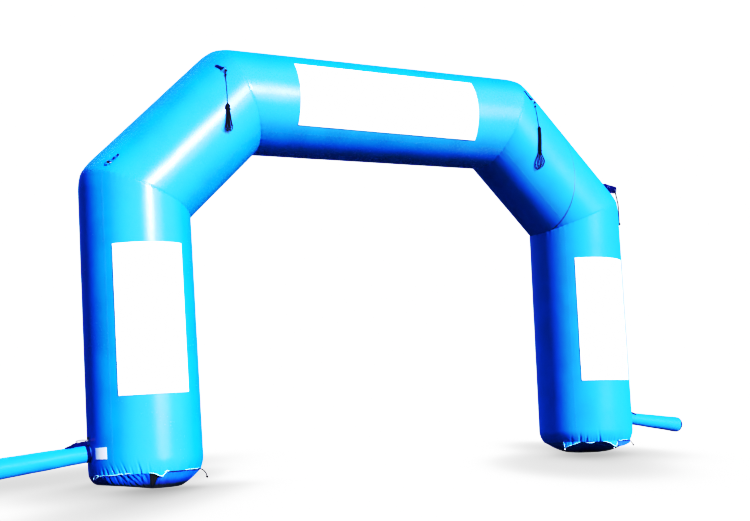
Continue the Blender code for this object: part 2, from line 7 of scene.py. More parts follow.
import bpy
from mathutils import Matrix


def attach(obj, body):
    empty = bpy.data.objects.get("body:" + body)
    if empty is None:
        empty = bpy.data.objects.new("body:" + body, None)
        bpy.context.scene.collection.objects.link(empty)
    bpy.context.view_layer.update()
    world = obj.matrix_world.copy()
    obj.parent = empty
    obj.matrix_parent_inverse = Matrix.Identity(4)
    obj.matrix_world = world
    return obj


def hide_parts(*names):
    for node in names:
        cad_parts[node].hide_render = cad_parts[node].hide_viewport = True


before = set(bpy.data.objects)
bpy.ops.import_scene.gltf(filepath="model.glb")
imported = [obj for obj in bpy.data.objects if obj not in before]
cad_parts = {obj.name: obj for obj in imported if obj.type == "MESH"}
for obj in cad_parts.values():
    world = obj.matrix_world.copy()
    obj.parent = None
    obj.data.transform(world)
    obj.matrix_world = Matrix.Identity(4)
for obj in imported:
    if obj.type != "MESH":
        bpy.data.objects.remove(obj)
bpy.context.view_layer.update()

import logging
import math
from dataclasses import dataclass, field
from enum import Enum, StrEnum
from typing import Callable, Sequence

import bmesh
import bpy
import numpy as np
from mathutils import Matrix, Vector

log = logging.getLogger("inflatable_arch")

Points = np.ndarray
Socket = bpy.types.NodeSocket
Material = bpy.types.Material
Mesh = bpy.types.Mesh
Piece = bpy.types.Object
Value = Socket | float
Colour = tuple[float, float, float]
Point = tuple[float, float, float]
Placed = tuple[Points, Points, dict[str, Points]]

ROOT = "root"
GAP = 0.0003
NO_SEAM = 9.0
WHITE: Colour = (1.0, 1.0, 1.0)
FRONT = np.array((0.0, -1.0, 0.0))


class Side(StrEnum):
    """Which leg a piece belongs to."""

    LEFT = "left"
    RIGHT = "right"

    @property
    def sign(self) -> float:
        """Returns -1 for the left side and 1 for the right one."""
        return -1.0 if self is Side.LEFT else 1.0


# ----------------------------------------------------------------------------------------------------
# Material nodes


class Coordinate(Enum):
    """Where a pattern takes its place from."""

    OBJECT = "Object"
    UV = "UV"
    DIRECTION = "Generated"


class Recipe:
    """A material or the world under construction, with short calls that add nodes to it."""

    def __init__(self, name: str, of_world: bool = False) -> None:
        """Starts an empty material or world.

        Args:
            name: Its name.
            of_world: Whether it is the world and not a material.
        """
        self.owner = (bpy.data.worlds if of_world else bpy.data.materials).new(name)
        self.owner.use_nodes = True
        self.nodes, self.links = self.owner.node_tree.nodes, self.owner.node_tree.links
        self.nodes.clear()
        self.output = self.nodes.new("ShaderNodeOutputWorld" if of_world else "ShaderNodeOutputMaterial")

    def plug(self, socket: Socket, value: "Value | Sequence[float]") -> None:
        """Links a socket to another one, or sets its value.

        Args:
            socket: The input that receives the value.
            value: An output socket, a number or a row of numbers.
        """
        if isinstance(value, bpy.types.NodeSocket):
            self.links.new(value, socket)
        else:
            socket.default_value = value

    def node(self, kind: str, **inputs: "Value | Sequence[float]") -> bpy.types.Node:
        """Adds a node.

        Args:
            kind: Its type, without the word ShaderNode.
            **inputs: Its inputs by name, with underscores for spaces.

        Returns:
            The node.
        """
        node = self.nodes.new(f"ShaderNode{kind}")
        for name, value in inputs.items():
            self.plug(node.inputs[name.replace("_", " ")], value)
        return node

    def coordinate(self, kind: Coordinate) -> Socket:
        """Returns the coordinate that a pattern follows."""
        return self.node("TexCoord").outputs[kind.value]

    def attribute(self, name: str) -> Socket:
        """Returns the value of a mesh attribute."""
        node = self.node("Attribute")
        node.attribute_name = name
        return node.outputs["Fac"]

    def axes(self, vector: Socket) -> tuple[Socket, ...]:
        """Returns a vector's three parts."""
        return tuple(self.node("SeparateXYZ", Vector=vector).outputs)

    def math(self, operation: str, first: Value, second: Value = 0.0, third: Value = 0.0) -> Socket:
        """Adds a Math node.

        Args:
            operation: The node's operation, in Blender's word for it.
            first: The first operand.
            second: The second operand, where the operation has one.
            third: The third operand, where the operation has one.

        Returns:
            The result's socket.
        """
        node = self.node("Math")
        node.operation = operation
        for socket, value in zip(node.inputs, (first, second, third)):
            self.plug(socket, value)
        return node.outputs[0]

    def times(self, first: Value, second: Value) -> Socket:
        """Returns the product of two values."""
        return self.math("MULTIPLY", first, second)

    def larger(self, first: Value, second: Value) -> Socket:
        """Returns the larger of two values."""
        return self.math("MAXIMUM", first, second)

    def ramp(self, value: Socket, low: float, high: float, at_low: float = 0.0,
             at_high: float = 1.0) -> Socket:
        """Maps a value smoothly from one range to another, and holds it beyond the ends.

        Args:
            value: The socket that is mapped.
            low: The value that gives at_low.
            high: The value that gives at_high.
            at_low: The result at and below low.
            at_high: The result at and above high.

        Returns:
            The mapped socket.
        """
        node = self.node("MapRange", Value=value, From_Min=low, From_Max=high, To_Min=at_low, To_Max=at_high)
        node.interpolation_type = "SMOOTHSTEP"
        return node.outputs["Result"]

    def within(self, value: Socket, half_width: float, softness: float) -> Socket:
        """Returns a mask that is 1 up to a half width and fades to 0 over the softness."""
        return self.ramp(value, half_width, half_width + softness, 1.0, 0.0)

    def band(self, value: Socket, middle: float, half_width: float, softness: float) -> Socket:
        """A mask that is 1 within a half width of a middle value and fades to 0 over the softness.

        Args:
            value: The socket that is tested.
            middle: The value at the band's middle.
            half_width: The half width of the full part.
            softness: How far the mask takes to fade.

        Returns:
            The mask's socket.
        """
        return self.within(self.math("ABSOLUTE", self.math("SUBTRACT", value, middle)), half_width, softness)

    def dashes(self, run: Socket, pitch: float, half: float, softness: float = 0.1) -> Socket:
        """A mask of stitches along a run.

        Args:
            run: The distance along the row, in metres.
            pitch: The distance from stitch to stitch.
            half: Half of a stitch, as a share of the pitch.
            softness: How far a stitch's end takes to fade, as a share of the pitch.

        Returns:
            The mask's socket.
        """
        return self.band(self.math("FRACT", self.times(run, 1.0 / pitch)), 0.5, half, softness)

    def inset(self, across: Socket, along: Socket, half_width: float, half_length: float) -> Socket:
        """Returns the distance in from the nearest edge of a sheet, from coordinates about its middle."""
        sides = ((half_width, across), (half_length, along))
        insets = (self.math("SUBTRACT", half, self.math("ABSOLUTE", way)) for half, way in sides)
        return self.math("MINIMUM", *insets)

    def noise(self, vector: Socket, scale: float, detail: float = 2.0) -> Socket:
        """Adds a noise pattern.

        Args:
            vector: The coordinate it follows.
            scale: Features for each metre.
            detail: Octaves.

        Returns:
            The noise, from 0 to 1.
        """
        return self.node("TexNoise", Vector=vector, Scale=scale, Detail=detail).outputs["Fac"]

    def weave(self, vector: Socket, warp: float, weft: float) -> Socket:
        """A plain weave's height, from 0 to 1.

        Args:
            vector: A coordinate in metres.
            warp: The pattern's length along the first axis, in metres.
            weft: Its length along the second axis, in metres.

        Returns:
            The height's socket.
        """
        across, along, _ = self.axes(vector)
        ways = ((across, warp), (along, weft))
        first, second = (self.math("SINE", self.times(way, math.tau / length)) for way, length in ways)
        return self.math("MULTIPLY_ADD", self.times(first, second), 0.5, 0.5)

    def blend(self, share: Value, first: "Socket | Colour", second: "Socket | Colour") -> Socket:
        """Mixes two colours.

        Args:
            share: How much of the second colour shows.
            first: A colour or a socket.
            second: A colour or a socket.

        Returns:
            The mixed colour's socket.
        """
        node = self.node("Mix")
        node.data_type = "RGBA"
        self.plug(node.inputs["Factor"], share)
        for socket, value in ((node.inputs["A"], first), (node.inputs["B"], second)):
            self.plug(socket, value if isinstance(value, bpy.types.NodeSocket) else (*value, 1.0))
        return node.outputs["Result"]

    def bump(self, height: Socket, depth: float, below: "Socket | None" = None,
             strength: float = 1.0) -> Socket:
        """Turns a height into a normal.

        Args:
            height: The height, from 0 to 1.
            depth: What a height of 1 is, in metres.
            below: The normal that this bump is laid on.
            strength: How much of the bump shows.

        Returns:
            The normal's socket.
        """
        node = self.node("Bump", Distance=depth, Strength=strength, Height=height)
        if below is not None:
            self.plug(node.inputs["Normal"], below)
        return node.outputs["Normal"]

    def show(self, shader: Socket) -> "Material | bpy.types.World":
        """Links a shader to the output and returns the finished material or world."""
        self.plug(self.output.inputs["Surface"], shader)
        return self.owner

    def finish(self, **inputs: "Value | Sequence[float]") -> Material:
        """Ends a material with a Principled shader.

        Args:
            **inputs: The shader's inputs by name, with underscores for spaces.

        Returns:
            The finished material.
        """
        return self.show(self.node("BsdfPrincipled", **inputs).outputs["BSDF"])


def shade(colour: Colour, share: float) -> Colour:
    """Returns a colour scaled by a share."""
    return tuple(part * share for part in colour)


# ----------------------------------------------------------------------------------------------------
# Finishes: colours are linear, lengths are metres


@dataclass(frozen=True)
class CoatedCloth:
    """Glossy coated cloth of the tube and sleeves, with sewn laps along its cut ends and lengthwise seams."""

    name: str
    colour: Colour = (0.001, 0.172, 0.60)
    roughness: float = 0.31
    seams: tuple[float, ...] = ()
    lap: float = 0.022
    radius: float = 0.60
    ring_seam: bool = False
    end_lap: float = 0.010
    stitch_inset: float = 0.006
    stitch_pitch: float = 0.006
    row_offset: float = 0.32
    thread: float = 0.0007

    def laps(self, recipe: Recipe, around: Socket) -> tuple[Socket, Socket]:
        """The raised laps and the rows of stitches that hold them.

        Args:
            recipe: The material under construction.
            around: The distance round the tube.

        Returns:
            A mask for each.
        """
        cut = recipe.attribute("cut")
        lap = recipe.band(cut, 0.0, self.end_lap, 0.003)
        row = recipe.band(cut, self.stitch_inset, 0.0008, 0.0008)
        for angle in self.seams:
            middle = math.radians(angle % 360.0) * self.radius
            lap = recipe.larger(lap, recipe.band(around, middle, self.lap / 2.0, 0.0012))
            for side in (-self.row_offset, self.row_offset):
                stitched = recipe.band(around, middle + side * self.lap, self.thread, self.thread)
                row = recipe.larger(row, stitched)
        return lap, row

    def make(self) -> Material:
        """Builds the material.

        Returns:
            The material, which reads the piece's UV map in metres and its cut and ring attributes.
        """
        recipe = Recipe(self.name)
        place = recipe.coordinate(Coordinate.OBJECT)
        flat = recipe.coordinate(Coordinate.UV)
        around, along, _ = recipe.axes(flat)
        cloud = recipe.noise(place, 2.3, 3.0)
        scuff = recipe.noise(place, 34.0, 4.0)
        tone = recipe.blend(recipe.ramp(cloud, 0.35, 0.68), self.colour, shade(self.colour, 0.86))
        lap, row = self.laps(recipe, around)
        if self.ring_seam:
            ring = recipe.attribute("ring")
            lap = recipe.larger(lap, recipe.band(ring, 0.0, 0.009, 0.0015))
            # Painted shade along the crease beside the ring seam's lap.
            crease = recipe.times(recipe.band(ring, 0.010, 0.0068, 0.003), 0.9)
            tone = recipe.blend(crease, tone, (0.0, 0.006, 0.05))
        stitches = recipe.times(row, recipe.dashes(along, self.stitch_pitch, 0.22))
        tone = recipe.blend(recipe.times(lap, 0.06), tone, (0.001, 0.10, 0.60))
        tone = recipe.blend(recipe.times(stitches, 0.4), tone, (0.02, 0.24, 0.75))
        gloss = recipe.math("MULTIPLY_ADD", recipe.ramp(scuff, 0.45, 0.75), 0.05, self.roughness)
        gloss = recipe.math("MULTIPLY_ADD", recipe.ramp(cloud, 0.4, 0.7), 0.03, gloss)
        normal = recipe.bump(recipe.weave(flat, 0.0011, 0.0011), 0.00002)
        normal = recipe.bump(recipe.noise(place, 11.0, 2.0), 0.0012, normal, 0.55)
        normal = recipe.bump(stitches, 0.0005, recipe.bump(lap, 0.0003, normal))
        return recipe.finish(
            Base_Color=tone, Roughness=gloss, Normal=normal, IOR=1.50,
            Diffuse_Roughness=0.3, Specular_IOR_Level=0.5,
        )


@dataclass(frozen=True)
class BaseCloth:
    """Heavier cloth under the feet, scuffed where it meets the ground, with painted shade that darkens it
    towards the ground and in its gaps.
    """

    name: str
    # Painted shade: this colour is darker than the tube's cloth, and the next two are darker still, because
    # the base faces the ground.
    colour: Colour = (0.001, 0.066, 0.42)
    shade_at_ground: Colour = (0.0002, 0.0012, 0.008)
    shade_in_gap: Colour = (0.0005, 0.001, 0.006)
    roughness: float = 0.42
    painted_shade_height: tuple[float, float] = (0.005, 0.10)

    def make(self) -> Material:
        """Builds the material: painted shade darkens it towards the ground and where the gap attribute is 1,
        and it is rougher at the ground.
        """
        recipe = Recipe(self.name)
        place = recipe.coordinate(Coordinate.OBJECT)
        # Painted shade that deepens towards the ground, with noise making its edge uneven.
        shade_edge_noise = recipe.noise(place, 19.0, 4.0)
        uneven_height = recipe.math("MULTIPLY_ADD", shade_edge_noise, -0.03, recipe.axes(place)[2])
        low = recipe.ramp(uneven_height, *self.painted_shade_height, 1.0, 0.0)
        tone = recipe.blend(low, self.colour, self.shade_at_ground)
        # Painted shade in the base's gaps.
        tone = recipe.blend(recipe.attribute("gap"), tone, self.shade_in_gap)
        gloss = recipe.math("MULTIPLY_ADD", low, 0.2, self.roughness)
        normal = recipe.bump(recipe.weave(recipe.coordinate(Coordinate.UV), 0.0014, 0.0014), 0.00004)
        normal = recipe.bump(recipe.noise(place, 42.0, 3.0), 0.0015, normal, 0.5)
        return recipe.finish(
            Base_Color=tone, Roughness=gloss, Normal=normal, IOR=1.50,
            Diffuse_Roughness=0.3, Specular_IOR_Level=0.05,
        )


@dataclass(frozen=True)
class BannerCloth:
    """Bare white banner cloth with a turned and stitched hem round its edge."""

    name: str
    half_width: float
    half_length: float
    colour: Colour = (0.88, 0.89, 0.90)
    roughness: float = 0.36
    hem: float = 0.030
    stitch_pitch: float = 0.005

    def make(self) -> Material:
        """Builds the material, whose hem follows the UV map's distance from the panel's middle."""
        recipe = Recipe(self.name)
        place = recipe.coordinate(Coordinate.OBJECT)
        flat = recipe.coordinate(Coordinate.UV)
        across, along, _ = recipe.axes(flat)
        edge = recipe.inset(across, along, self.half_width, self.half_length)
        hem = recipe.ramp(edge, self.hem - 0.002, self.hem, 1.0, 0.0)
        dashes = recipe.dashes(recipe.math("ADD", across, along), self.stitch_pitch, 0.25)
        thread = recipe.times(recipe.band(edge, self.hem - 0.006, 0.0008, 0.0006), dashes)
        dust = recipe.noise(place, 6.0, 4.0)
        tone = recipe.blend(recipe.times(recipe.ramp(dust, 0.5, 0.8), 0.10), self.colour, (0.74, 0.76, 0.78))
        tone = recipe.blend(recipe.times(thread, 0.35), tone, (0.62, 0.64, 0.66))
        gloss = recipe.math("MULTIPLY_ADD", dust, 0.10, self.roughness)
        normal = recipe.bump(recipe.weave(flat, 0.0009, 0.0009), 0.00002)
        normal = recipe.bump(recipe.noise(place, 7.0, 2.0), 0.0010, normal, 0.5)
        normal = recipe.bump(thread, 0.0004, recipe.bump(hem, 0.0006, normal))
        return recipe.finish(Base_Color=tone, Roughness=gloss, Normal=normal, IOR=1.48,
                             Specular_IOR_Level=0.5)


@dataclass(frozen=True)
class Webbing:
    """Woven webbing, its ribs across the strip, with stitched boxes where it is sewn down."""

    name: str
    colour: Colour = (0.0002, 0.0009, 0.036)
    thread: Colour = (0.20, 0.26, 0.40)
    width: float = 0.048
    sewn: tuple[tuple[float, float], ...] = ()
    rib_pitch: float = 0.0021
    cord_pitch: float = 0.0032
    box_half: float = 0.0188
    stitch_pitch: float = 0.004

    def stitched_box(self, recipe: Recipe, across: Socket, along: Socket, start: float, end: float) -> Socket:
        """A box of stitches with a cross in it.

        Args:
            recipe: The material under construction.
            across: The distance across the strip from its middle.
            along: The distance along the strip.
            start: Where the box starts along the strip.
            end: Where it ends.

        Returns:
            Its mask.
        """
        middle, half = (start + end) / 2.0, (end - start) / 2.0
        off = recipe.math("ABSOLUTE", recipe.math("SUBTRACT", along, middle))
        side = recipe.math("ABSOLUTE", across)
        row, blur = 0.0006, 0.0004
        inside = recipe.times(recipe.within(off, half, row), recipe.within(side, self.box_half + 0.0008, row))
        ends = recipe.band(off, half - 0.001, row, blur)
        sides = recipe.band(side, self.box_half, row, blur)
        slope = recipe.times(side, half / self.box_half)
        cross = recipe.band(recipe.math("SUBTRACT", off, slope), 0.0, 0.0007, 0.0004)
        return recipe.times(recipe.larger(recipe.larger(ends, sides), cross), inside)

    def make(self) -> Material:
        """Builds the material from the strip's UV map: across, then along, in metres."""
        recipe = Recipe(self.name)
        place = recipe.coordinate(Coordinate.OBJECT)
        across, along, _ = recipe.axes(recipe.coordinate(Coordinate.UV))
        ribs = recipe.math("SINE", recipe.times(along, math.tau / self.rib_pitch))
        cords = recipe.math("SINE", recipe.times(across, math.tau / self.cord_pitch))
        height = recipe.math("MULTIPLY_ADD", recipe.times(ribs, cords), 0.5, 0.5)
        fade = recipe.ramp(recipe.noise(place, 55.0, 4.0), 0.45, 0.75)
        tone = recipe.blend(fade, self.colour, shade(self.colour, 1.5))
        # Painted highlight: the raised points of the weave are lighter.
        tone = recipe.blend(recipe.times(height, 0.35), tone, shade(self.colour, 2.4))
        raised = recipe.band(recipe.math("ABSOLUTE", across), self.width / 2.0 - 0.0012, 0.0008, 0.0006)
        if self.sewn:
            dashes = recipe.dashes(recipe.math("ADD", across, along), self.stitch_pitch, 0.3, 0.08)
            for start, end in self.sewn:
                stitches = recipe.times(self.stitched_box(recipe, across, along, start, end), dashes)
                tone = recipe.blend(stitches, tone, self.thread)
                raised = recipe.larger(stitches, raised)
        normal = recipe.bump(raised, 0.0004, recipe.bump(height, 0.00045))
        return recipe.finish(Base_Color=tone, Roughness=0.85, Normal=normal, Specular_IOR_Level=0.03)


@dataclass(frozen=True)
class Rope:
    """Laid rope: three strands that turn round it, with a fleck of worn fibre."""

    name: str
    colour: Colour = (0.0015, 0.0022, 0.008)
    worn: Colour = (0.010, 0.014, 0.050)
    lay_length: float = 0.022
    strands: float = 3.0

    def make(self) -> Material:
        """Builds the material from the cord's UV map: turns round it, then metres along it."""
        recipe = Recipe(self.name)
        place = recipe.coordinate(Coordinate.OBJECT)
        around, along, _ = recipe.axes(recipe.coordinate(Coordinate.UV))
        turns = recipe.math("MULTIPLY_ADD", along, 1.0 / self.lay_length, around)
        strand = recipe.math("FRACT", recipe.times(turns, self.strands))
        height = recipe.math("SINE", recipe.times(strand, math.pi))
        fibres = recipe.math("SINE", recipe.times(recipe.math("MULTIPLY_ADD", along, 900.0, around), 9.0))
        fleck = recipe.ramp(recipe.noise(place, 160.0, 3.0), 0.52, 0.7)
        # Painted shade: the grooves between the strands are darker.
        tone = recipe.blend(recipe.ramp(height, 0.1, 0.9), shade(self.colour, 0.35), self.colour)
        tone = recipe.blend(recipe.times(fleck, 0.5), tone, self.worn)
        normal = recipe.bump(fibres, 0.00010, recipe.bump(height, 0.0010))
        return recipe.finish(Base_Color=tone, Roughness=0.8, Normal=normal, Specular_IOR_Level=0.08)


@dataclass(frozen=True)
class Metal:
    """Zinc-plated wire, dulled by handling."""

    name: str = "ring_metal"
    colour: Colour = (0.20, 0.21, 0.24)
    dulled: Colour = (0.10, 0.11, 0.13)
    roughness: float = 0.34

    def make(self) -> Material:
        """Builds the material."""
        recipe = Recipe(self.name)
        place = recipe.coordinate(Coordinate.OBJECT)
        dull = recipe.noise(place, 120.0, 4.0)
        tone = recipe.blend(recipe.ramp(dull, 0.4, 0.75), self.colour, self.dulled)
        gloss = recipe.math("MULTIPLY_ADD", dull, 0.22, self.roughness)
        normal = recipe.bump(recipe.noise(place, 400.0, 3.0), 0.00008)
        return recipe.finish(Base_Color=tone, Roughness=gloss, Normal=normal, Metallic=1.0)


@dataclass(frozen=True)
class PatchCloth:
    """Bare white care patch: fine satin with a heat-cut edge and a row of stitches."""

    name: str = "patch_cloth"
    half_width: float = 0.089
    half_length: float = 0.060
    colour: Colour = (0.80, 0.82, 0.86)
    stitch_inset: float = 0.005
    stitch_pitch: float = 0.004

    def make(self) -> Material:
        """Builds the material from the patch's UV map, in metres from its middle."""
        recipe = Recipe(self.name)
        place = recipe.coordinate(Coordinate.OBJECT)
        flat = recipe.coordinate(Coordinate.UV)
        across, along, _ = recipe.axes(flat)
        edge = recipe.inset(across, along, self.half_width, self.half_length)
        dashes = recipe.dashes(recipe.math("ADD", across, along), self.stitch_pitch, 0.25)
        thread = recipe.times(recipe.band(edge, self.stitch_inset, 0.0006, 0.0005), dashes)
        soil = recipe.ramp(recipe.noise(place, 40.0, 4.0), 0.4, 0.75)
        tone = recipe.blend(recipe.times(soil, 0.25), self.colour, (0.60, 0.64, 0.72))
        tone = recipe.blend(thread, tone, (0.45, 0.50, 0.60))
        normal = recipe.bump(recipe.weave(flat, 0.0006, 0.0009), 0.00003)
        normal = recipe.bump(recipe.noise(place, 60.0, 2.0), 0.0008, normal, 0.5)
        return recipe.finish(Base_Color=tone, Roughness=0.48, Normal=normal, Specular_IOR_Level=0.45)


@dataclass(frozen=True)
class Thread:
    """Twisted sewing thread, and the pale cords that paint highlights along the hems."""

    name: str
    colour: Colour

    def make(self) -> Material:
        """Builds the material."""
        recipe = Recipe(self.name)
        twist = recipe.noise(recipe.coordinate(Coordinate.OBJECT), 260.0, 3.0)
        tone = recipe.blend(recipe.ramp(twist, 0.4, 0.7), self.colour, shade(self.colour, 0.62))
        normal = recipe.bump(twist, 0.0004)
        return recipe.finish(Base_Color=tone, Roughness=0.6, Normal=normal, Specular_IOR_Level=0.4)


# ----------------------------------------------------------------------------------------------------
# Cloth shapes


def wrapped(degrees: Points) -> Points:
    """Returns angles brought to between -180 and 180 degrees."""
    return (degrees + 180.0) % 360.0 - 180.0


def ripple(turn: Points, along: Points, seed: int, around: tuple[int, int], pitch: float,
           waves: int = 10) -> Points:
    """A smooth unevenness, closed round the tube and the same on each run.

    Args:
        turn: Angles round the piece, in degrees.
        along: Distances along the piece, in metres.
        seed: Chooses the pattern.
        around: The fewest and most waves round the tube.
        pitch: The usual wavelength along the piece, in metres.
        waves: How many waves are added.

    Returns:
        Heights, mostly between -1 and 1.
    """
    draw = np.random.default_rng(seed)
    total = np.zeros_like(turn, dtype=float)
    for _ in range(waves):
        count = int(draw.integers(around[0], around[1] + 1))
        rate = draw.normal(0.0, math.tau / pitch)
        total += np.sin(np.radians(turn) * count + along * rate + draw.uniform(0.0, math.tau))
    return total * 0.8 / math.sqrt(waves)


@dataclass(frozen=True)
class Fold:
    """A crease in gathered cloth, with the cloth raised on both sides of it."""

    angle: float
    width: float
    depth: float
    slant: float = 0.0
    reach: float = 0.08

    def sink(self, turn: Points, distance: Points) -> Points:
        """How far the crease draws the cloth in.

        Args:
            turn: Angles round the leg, in degrees.
            distance: Distances from the hem, in metres.

        Returns:
            Depths in metres, negative on the raised sides.
        """
        across = wrapped(turn - self.angle - self.slant * distance * 10.0) / self.width
        shape = (1.0 - 1.3 * across**2) * np.exp(-(across**2))
        return self.depth * shape * np.exp(-((distance / self.reach) ** 2))


def creases(*rows: tuple[float, ...]) -> tuple[Fold, ...]:
    """Returns folds from rows of their angle, width, depth, slant and reach."""
    return tuple(Fold(*row) for row in rows)


def cloth_grid(
    name: str,
    columns: Points,
    rows: Points,
    place: Callable[[Points, Points], Placed],
    closed: bool,
    capped: bool = False,
    sharp: float = 60.0,
) -> Mesh:
    """A grid primitive laid over a surface, with a UV map in metres and the surface's attributes.

    Args:
        name: The mesh's name.
        columns: The value of each column of vertices.
        rows: The value of each row of vertices.
        place: Gives points, UVs and named attributes from each vertex's column and row values.
        closed: Whether the first and last columns are one line, which is then welded.
        capped: Whether the open ends are filled.
        sharp: Edges that turn by more than this many degrees are sharp.

    Returns:
        The mesh.
    """
    bm = bmesh.new()
    bm.loops.layers.uv.new("UVMap")
    bmesh.ops.create_grid(bm, x_segments=len(columns) - 1, y_segments=len(rows) - 1, size=0.5, calc_uvs=True)
    mesh = bpy.data.meshes.new(name)
    bm.to_mesh(mesh)
    bm.free()
    count = len(mesh.vertices)
    grid = np.empty(count * 3)
    mesh.vertices.foreach_get("co", grid)
    grid = grid.reshape(-1, 3)
    column = columns[np.rint((grid[:, 0] + 0.5) * (len(columns) - 1)).astype(int)]
    row = rows[np.rint((grid[:, 1] + 0.5) * (len(rows) - 1)).astype(int)]
    points, flat, extras = place(column, row)
    mesh.vertices.foreach_set("co", np.ascontiguousarray(points, dtype=np.float32).ravel())
    corner = np.empty(len(mesh.loops), dtype=np.int32)
    mesh.loops.foreach_get("vertex_index", corner)
    mesh.uv_layers[0].data.foreach_set("uv", flat[corner].astype(np.float32).ravel())
    for key, values in extras.items():
        mesh.attributes.new(key, "FLOAT", "POINT").data.foreach_set("value", values.astype(np.float32))
    bm = bmesh.new()
    bm.from_mesh(mesh)
    if closed:
        bmesh.ops.remove_doubles(bm, verts=bm.verts, dist=2e-6)
    if capped:
        bmesh.ops.holes_fill(bm, edges=[edge for edge in bm.edges if edge.is_boundary], sides=0)
    if closed:
        bmesh.ops.recalc_face_normals(bm, faces=bm.faces)
    bm.to_mesh(mesh)
    bm.free()
    mesh.shade_smooth()
    mesh.set_sharp_from_angle(angle=math.radians(sharp))
    return mesh


def add_piece(name: str, mesh: Mesh, material: Material, slot: str, *nodes: str) -> Piece:
    """Links a mesh as a piece of the arch.

    Args:
        name: The piece's name.
        mesh: Its mesh.
        material: Its material.
        slot: The record's slot that its finish stands for; not used.
        *nodes: The CAD nodes that it replaces.

    Returns:
        The piece.
    """
    piece = bpy.data.objects.new(name, mesh)
    bpy.context.scene.collection.objects.link(piece)
    mesh.materials.clear()
    mesh.materials.append(material)
    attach(piece, ROOT)
    if nodes:
        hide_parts(*nodes)
    log.info("%s: %d vertices", name, len(mesh.vertices))
    return piece


def unit(rows: Points) -> Points:
    """Returns each direction scaled to a length of 1."""
    return rows / np.linalg.norm(rows, axis=-1, keepdims=True)


def square_to(rows: Points, axes: Points) -> Points:
    """Returns each direction turned square to its axis, with a length of 1."""
    return unit(rows - axes * (rows * axes).sum(axis=-1, keepdims=True))


def spokes(turn: Points, outward: Points) -> Points:
    """Returns directions at angles in degrees from the front, growing towards the outward direction."""
    angle = np.radians(turn)[:, None]
    return FRONT * np.cos(angle) + outward * np.sin(angle)


def runs_along(path: Points) -> Points:
    """Returns the distance along a path to each of its points."""
    return np.concatenate(([0.0], np.cumsum(np.linalg.norm(np.diff(path, axis=0), axis=1))))


def rows_at(stops: Points, run: Points, rows: "Points | Sequence[Sequence[float]]") -> Points:
    """Returns rows of values, known at the distances in run, at the distances in stops."""
    return np.column_stack([np.interp(stops, run, values) for values in np.asarray(rows).T])


def thicken(piece: Piece, thickness: float, offset: float = 1.0, even: bool = False) -> None:
    """Gives a sheet its thickness.

    Args:
        piece: The sheet.
        thickness: The thickness in metres.
        offset: 1 to grow from its face outwards, -1 to grow inwards.
        even: Whether bends keep the full thickness.
    """
    wall = piece.modifiers.new("thickness", "SOLIDIFY")
    wall.thickness, wall.offset, wall.use_even_offset = thickness, offset, even


def frames_along(path: Points) -> tuple[Points, Points]:
    """Two directions square to a path at each of its points, turning as little as they can.

    Args:
        path: The path's points.

    Returns:
        The two directions, one row a point.
    """
    tangent = unit(np.gradient(path, axis=0))
    seed = np.array((0.0, 0.0, 1.0)) if abs(tangent[0, 2]) < 0.9 else np.array((1.0, 0.0, 0.0))
    first = [np.cross(tangent[0], seed)]
    for direction in tangent[1:]:
        first.append(first[-1] - direction * first[-1].dot(direction))
    first = unit(np.array(first))
    return first, np.cross(tangent, first)


def round_cord(name: str, path: Points, radius: "float | Points", sides: int = 8) -> Mesh:
    """A round cord along a path, with closed ends and UVs of turns round it and metres along it.

    Args:
        name: The mesh's name.
        path: The centreline's points.
        radius: The cord's radius, or one for each point.
        sides: Sides of its section.

    Returns:
        The mesh.
    """
    first, second = frames_along(path)
    run = runs_along(path)
    width = np.broadcast_to(np.asarray(radius, dtype=float), run.shape)

    def place(turn: Points, index: Points) -> Placed:
        """Places a vertex of the cord's skin."""
        row = index.astype(int)
        angle = np.radians(turn)
        across = first[row] * np.cos(angle)[:, None] + second[row] * np.sin(angle)[:, None]
        return path[row] + across * width[row][:, None], np.column_stack((turn / 360.0, run[row])), {}

    turns = np.linspace(0.0, 360.0, sides + 1)
    return cloth_grid(name, turns, np.arange(len(path)), place, closed=True, capped=True)


def ribbon(
    name: str, path: Points, across: Points, up: Points, width: float, thickness: float, columns: int = 9,
    cup: float = 0.0,
) -> Mesh:
    """A flat strip along a path, as a closed solid with softened edges.

    Args:
        name: The mesh's name.
        path: The strip's middle line.
        across: The direction across the strip at each point.
        up: The direction out of the strip at each point.
        width: The strip's width.
        thickness: Its thickness.
        columns: Vertices across it.
        cup: How far its edges curl up.

    Returns:
        The mesh.
    """
    run = runs_along(path)
    half = thickness / 2.0
    offsets = np.linspace(-width / 2.0, width / 2.0, columns)
    over = [(x, half) for x in offsets]
    under = [(x, -half) for x in offsets[::-1]]
    edge = width / 2.0 + half * 0.6
    outline = np.array([*over, (edge, 0.0), *under, (-edge, 0.0), over[0]])

    def place(column: Points, index: Points) -> Placed:
        """Places a vertex of the strip's skin."""
        row = index.astype(int)
        side, rise = outline[column.astype(int)].T
        rise = rise + cup * (side / width * 2.0) ** 2
        points = path[row] + across[row] * side[:, None] + up[row] * rise[:, None]
        return points, np.column_stack((side, run[row])), {}

    corners, rows = np.arange(len(outline)), np.arange(len(path))
    return cloth_grid(name, corners, rows, place, closed=True, capped=True, sharp=50.0)


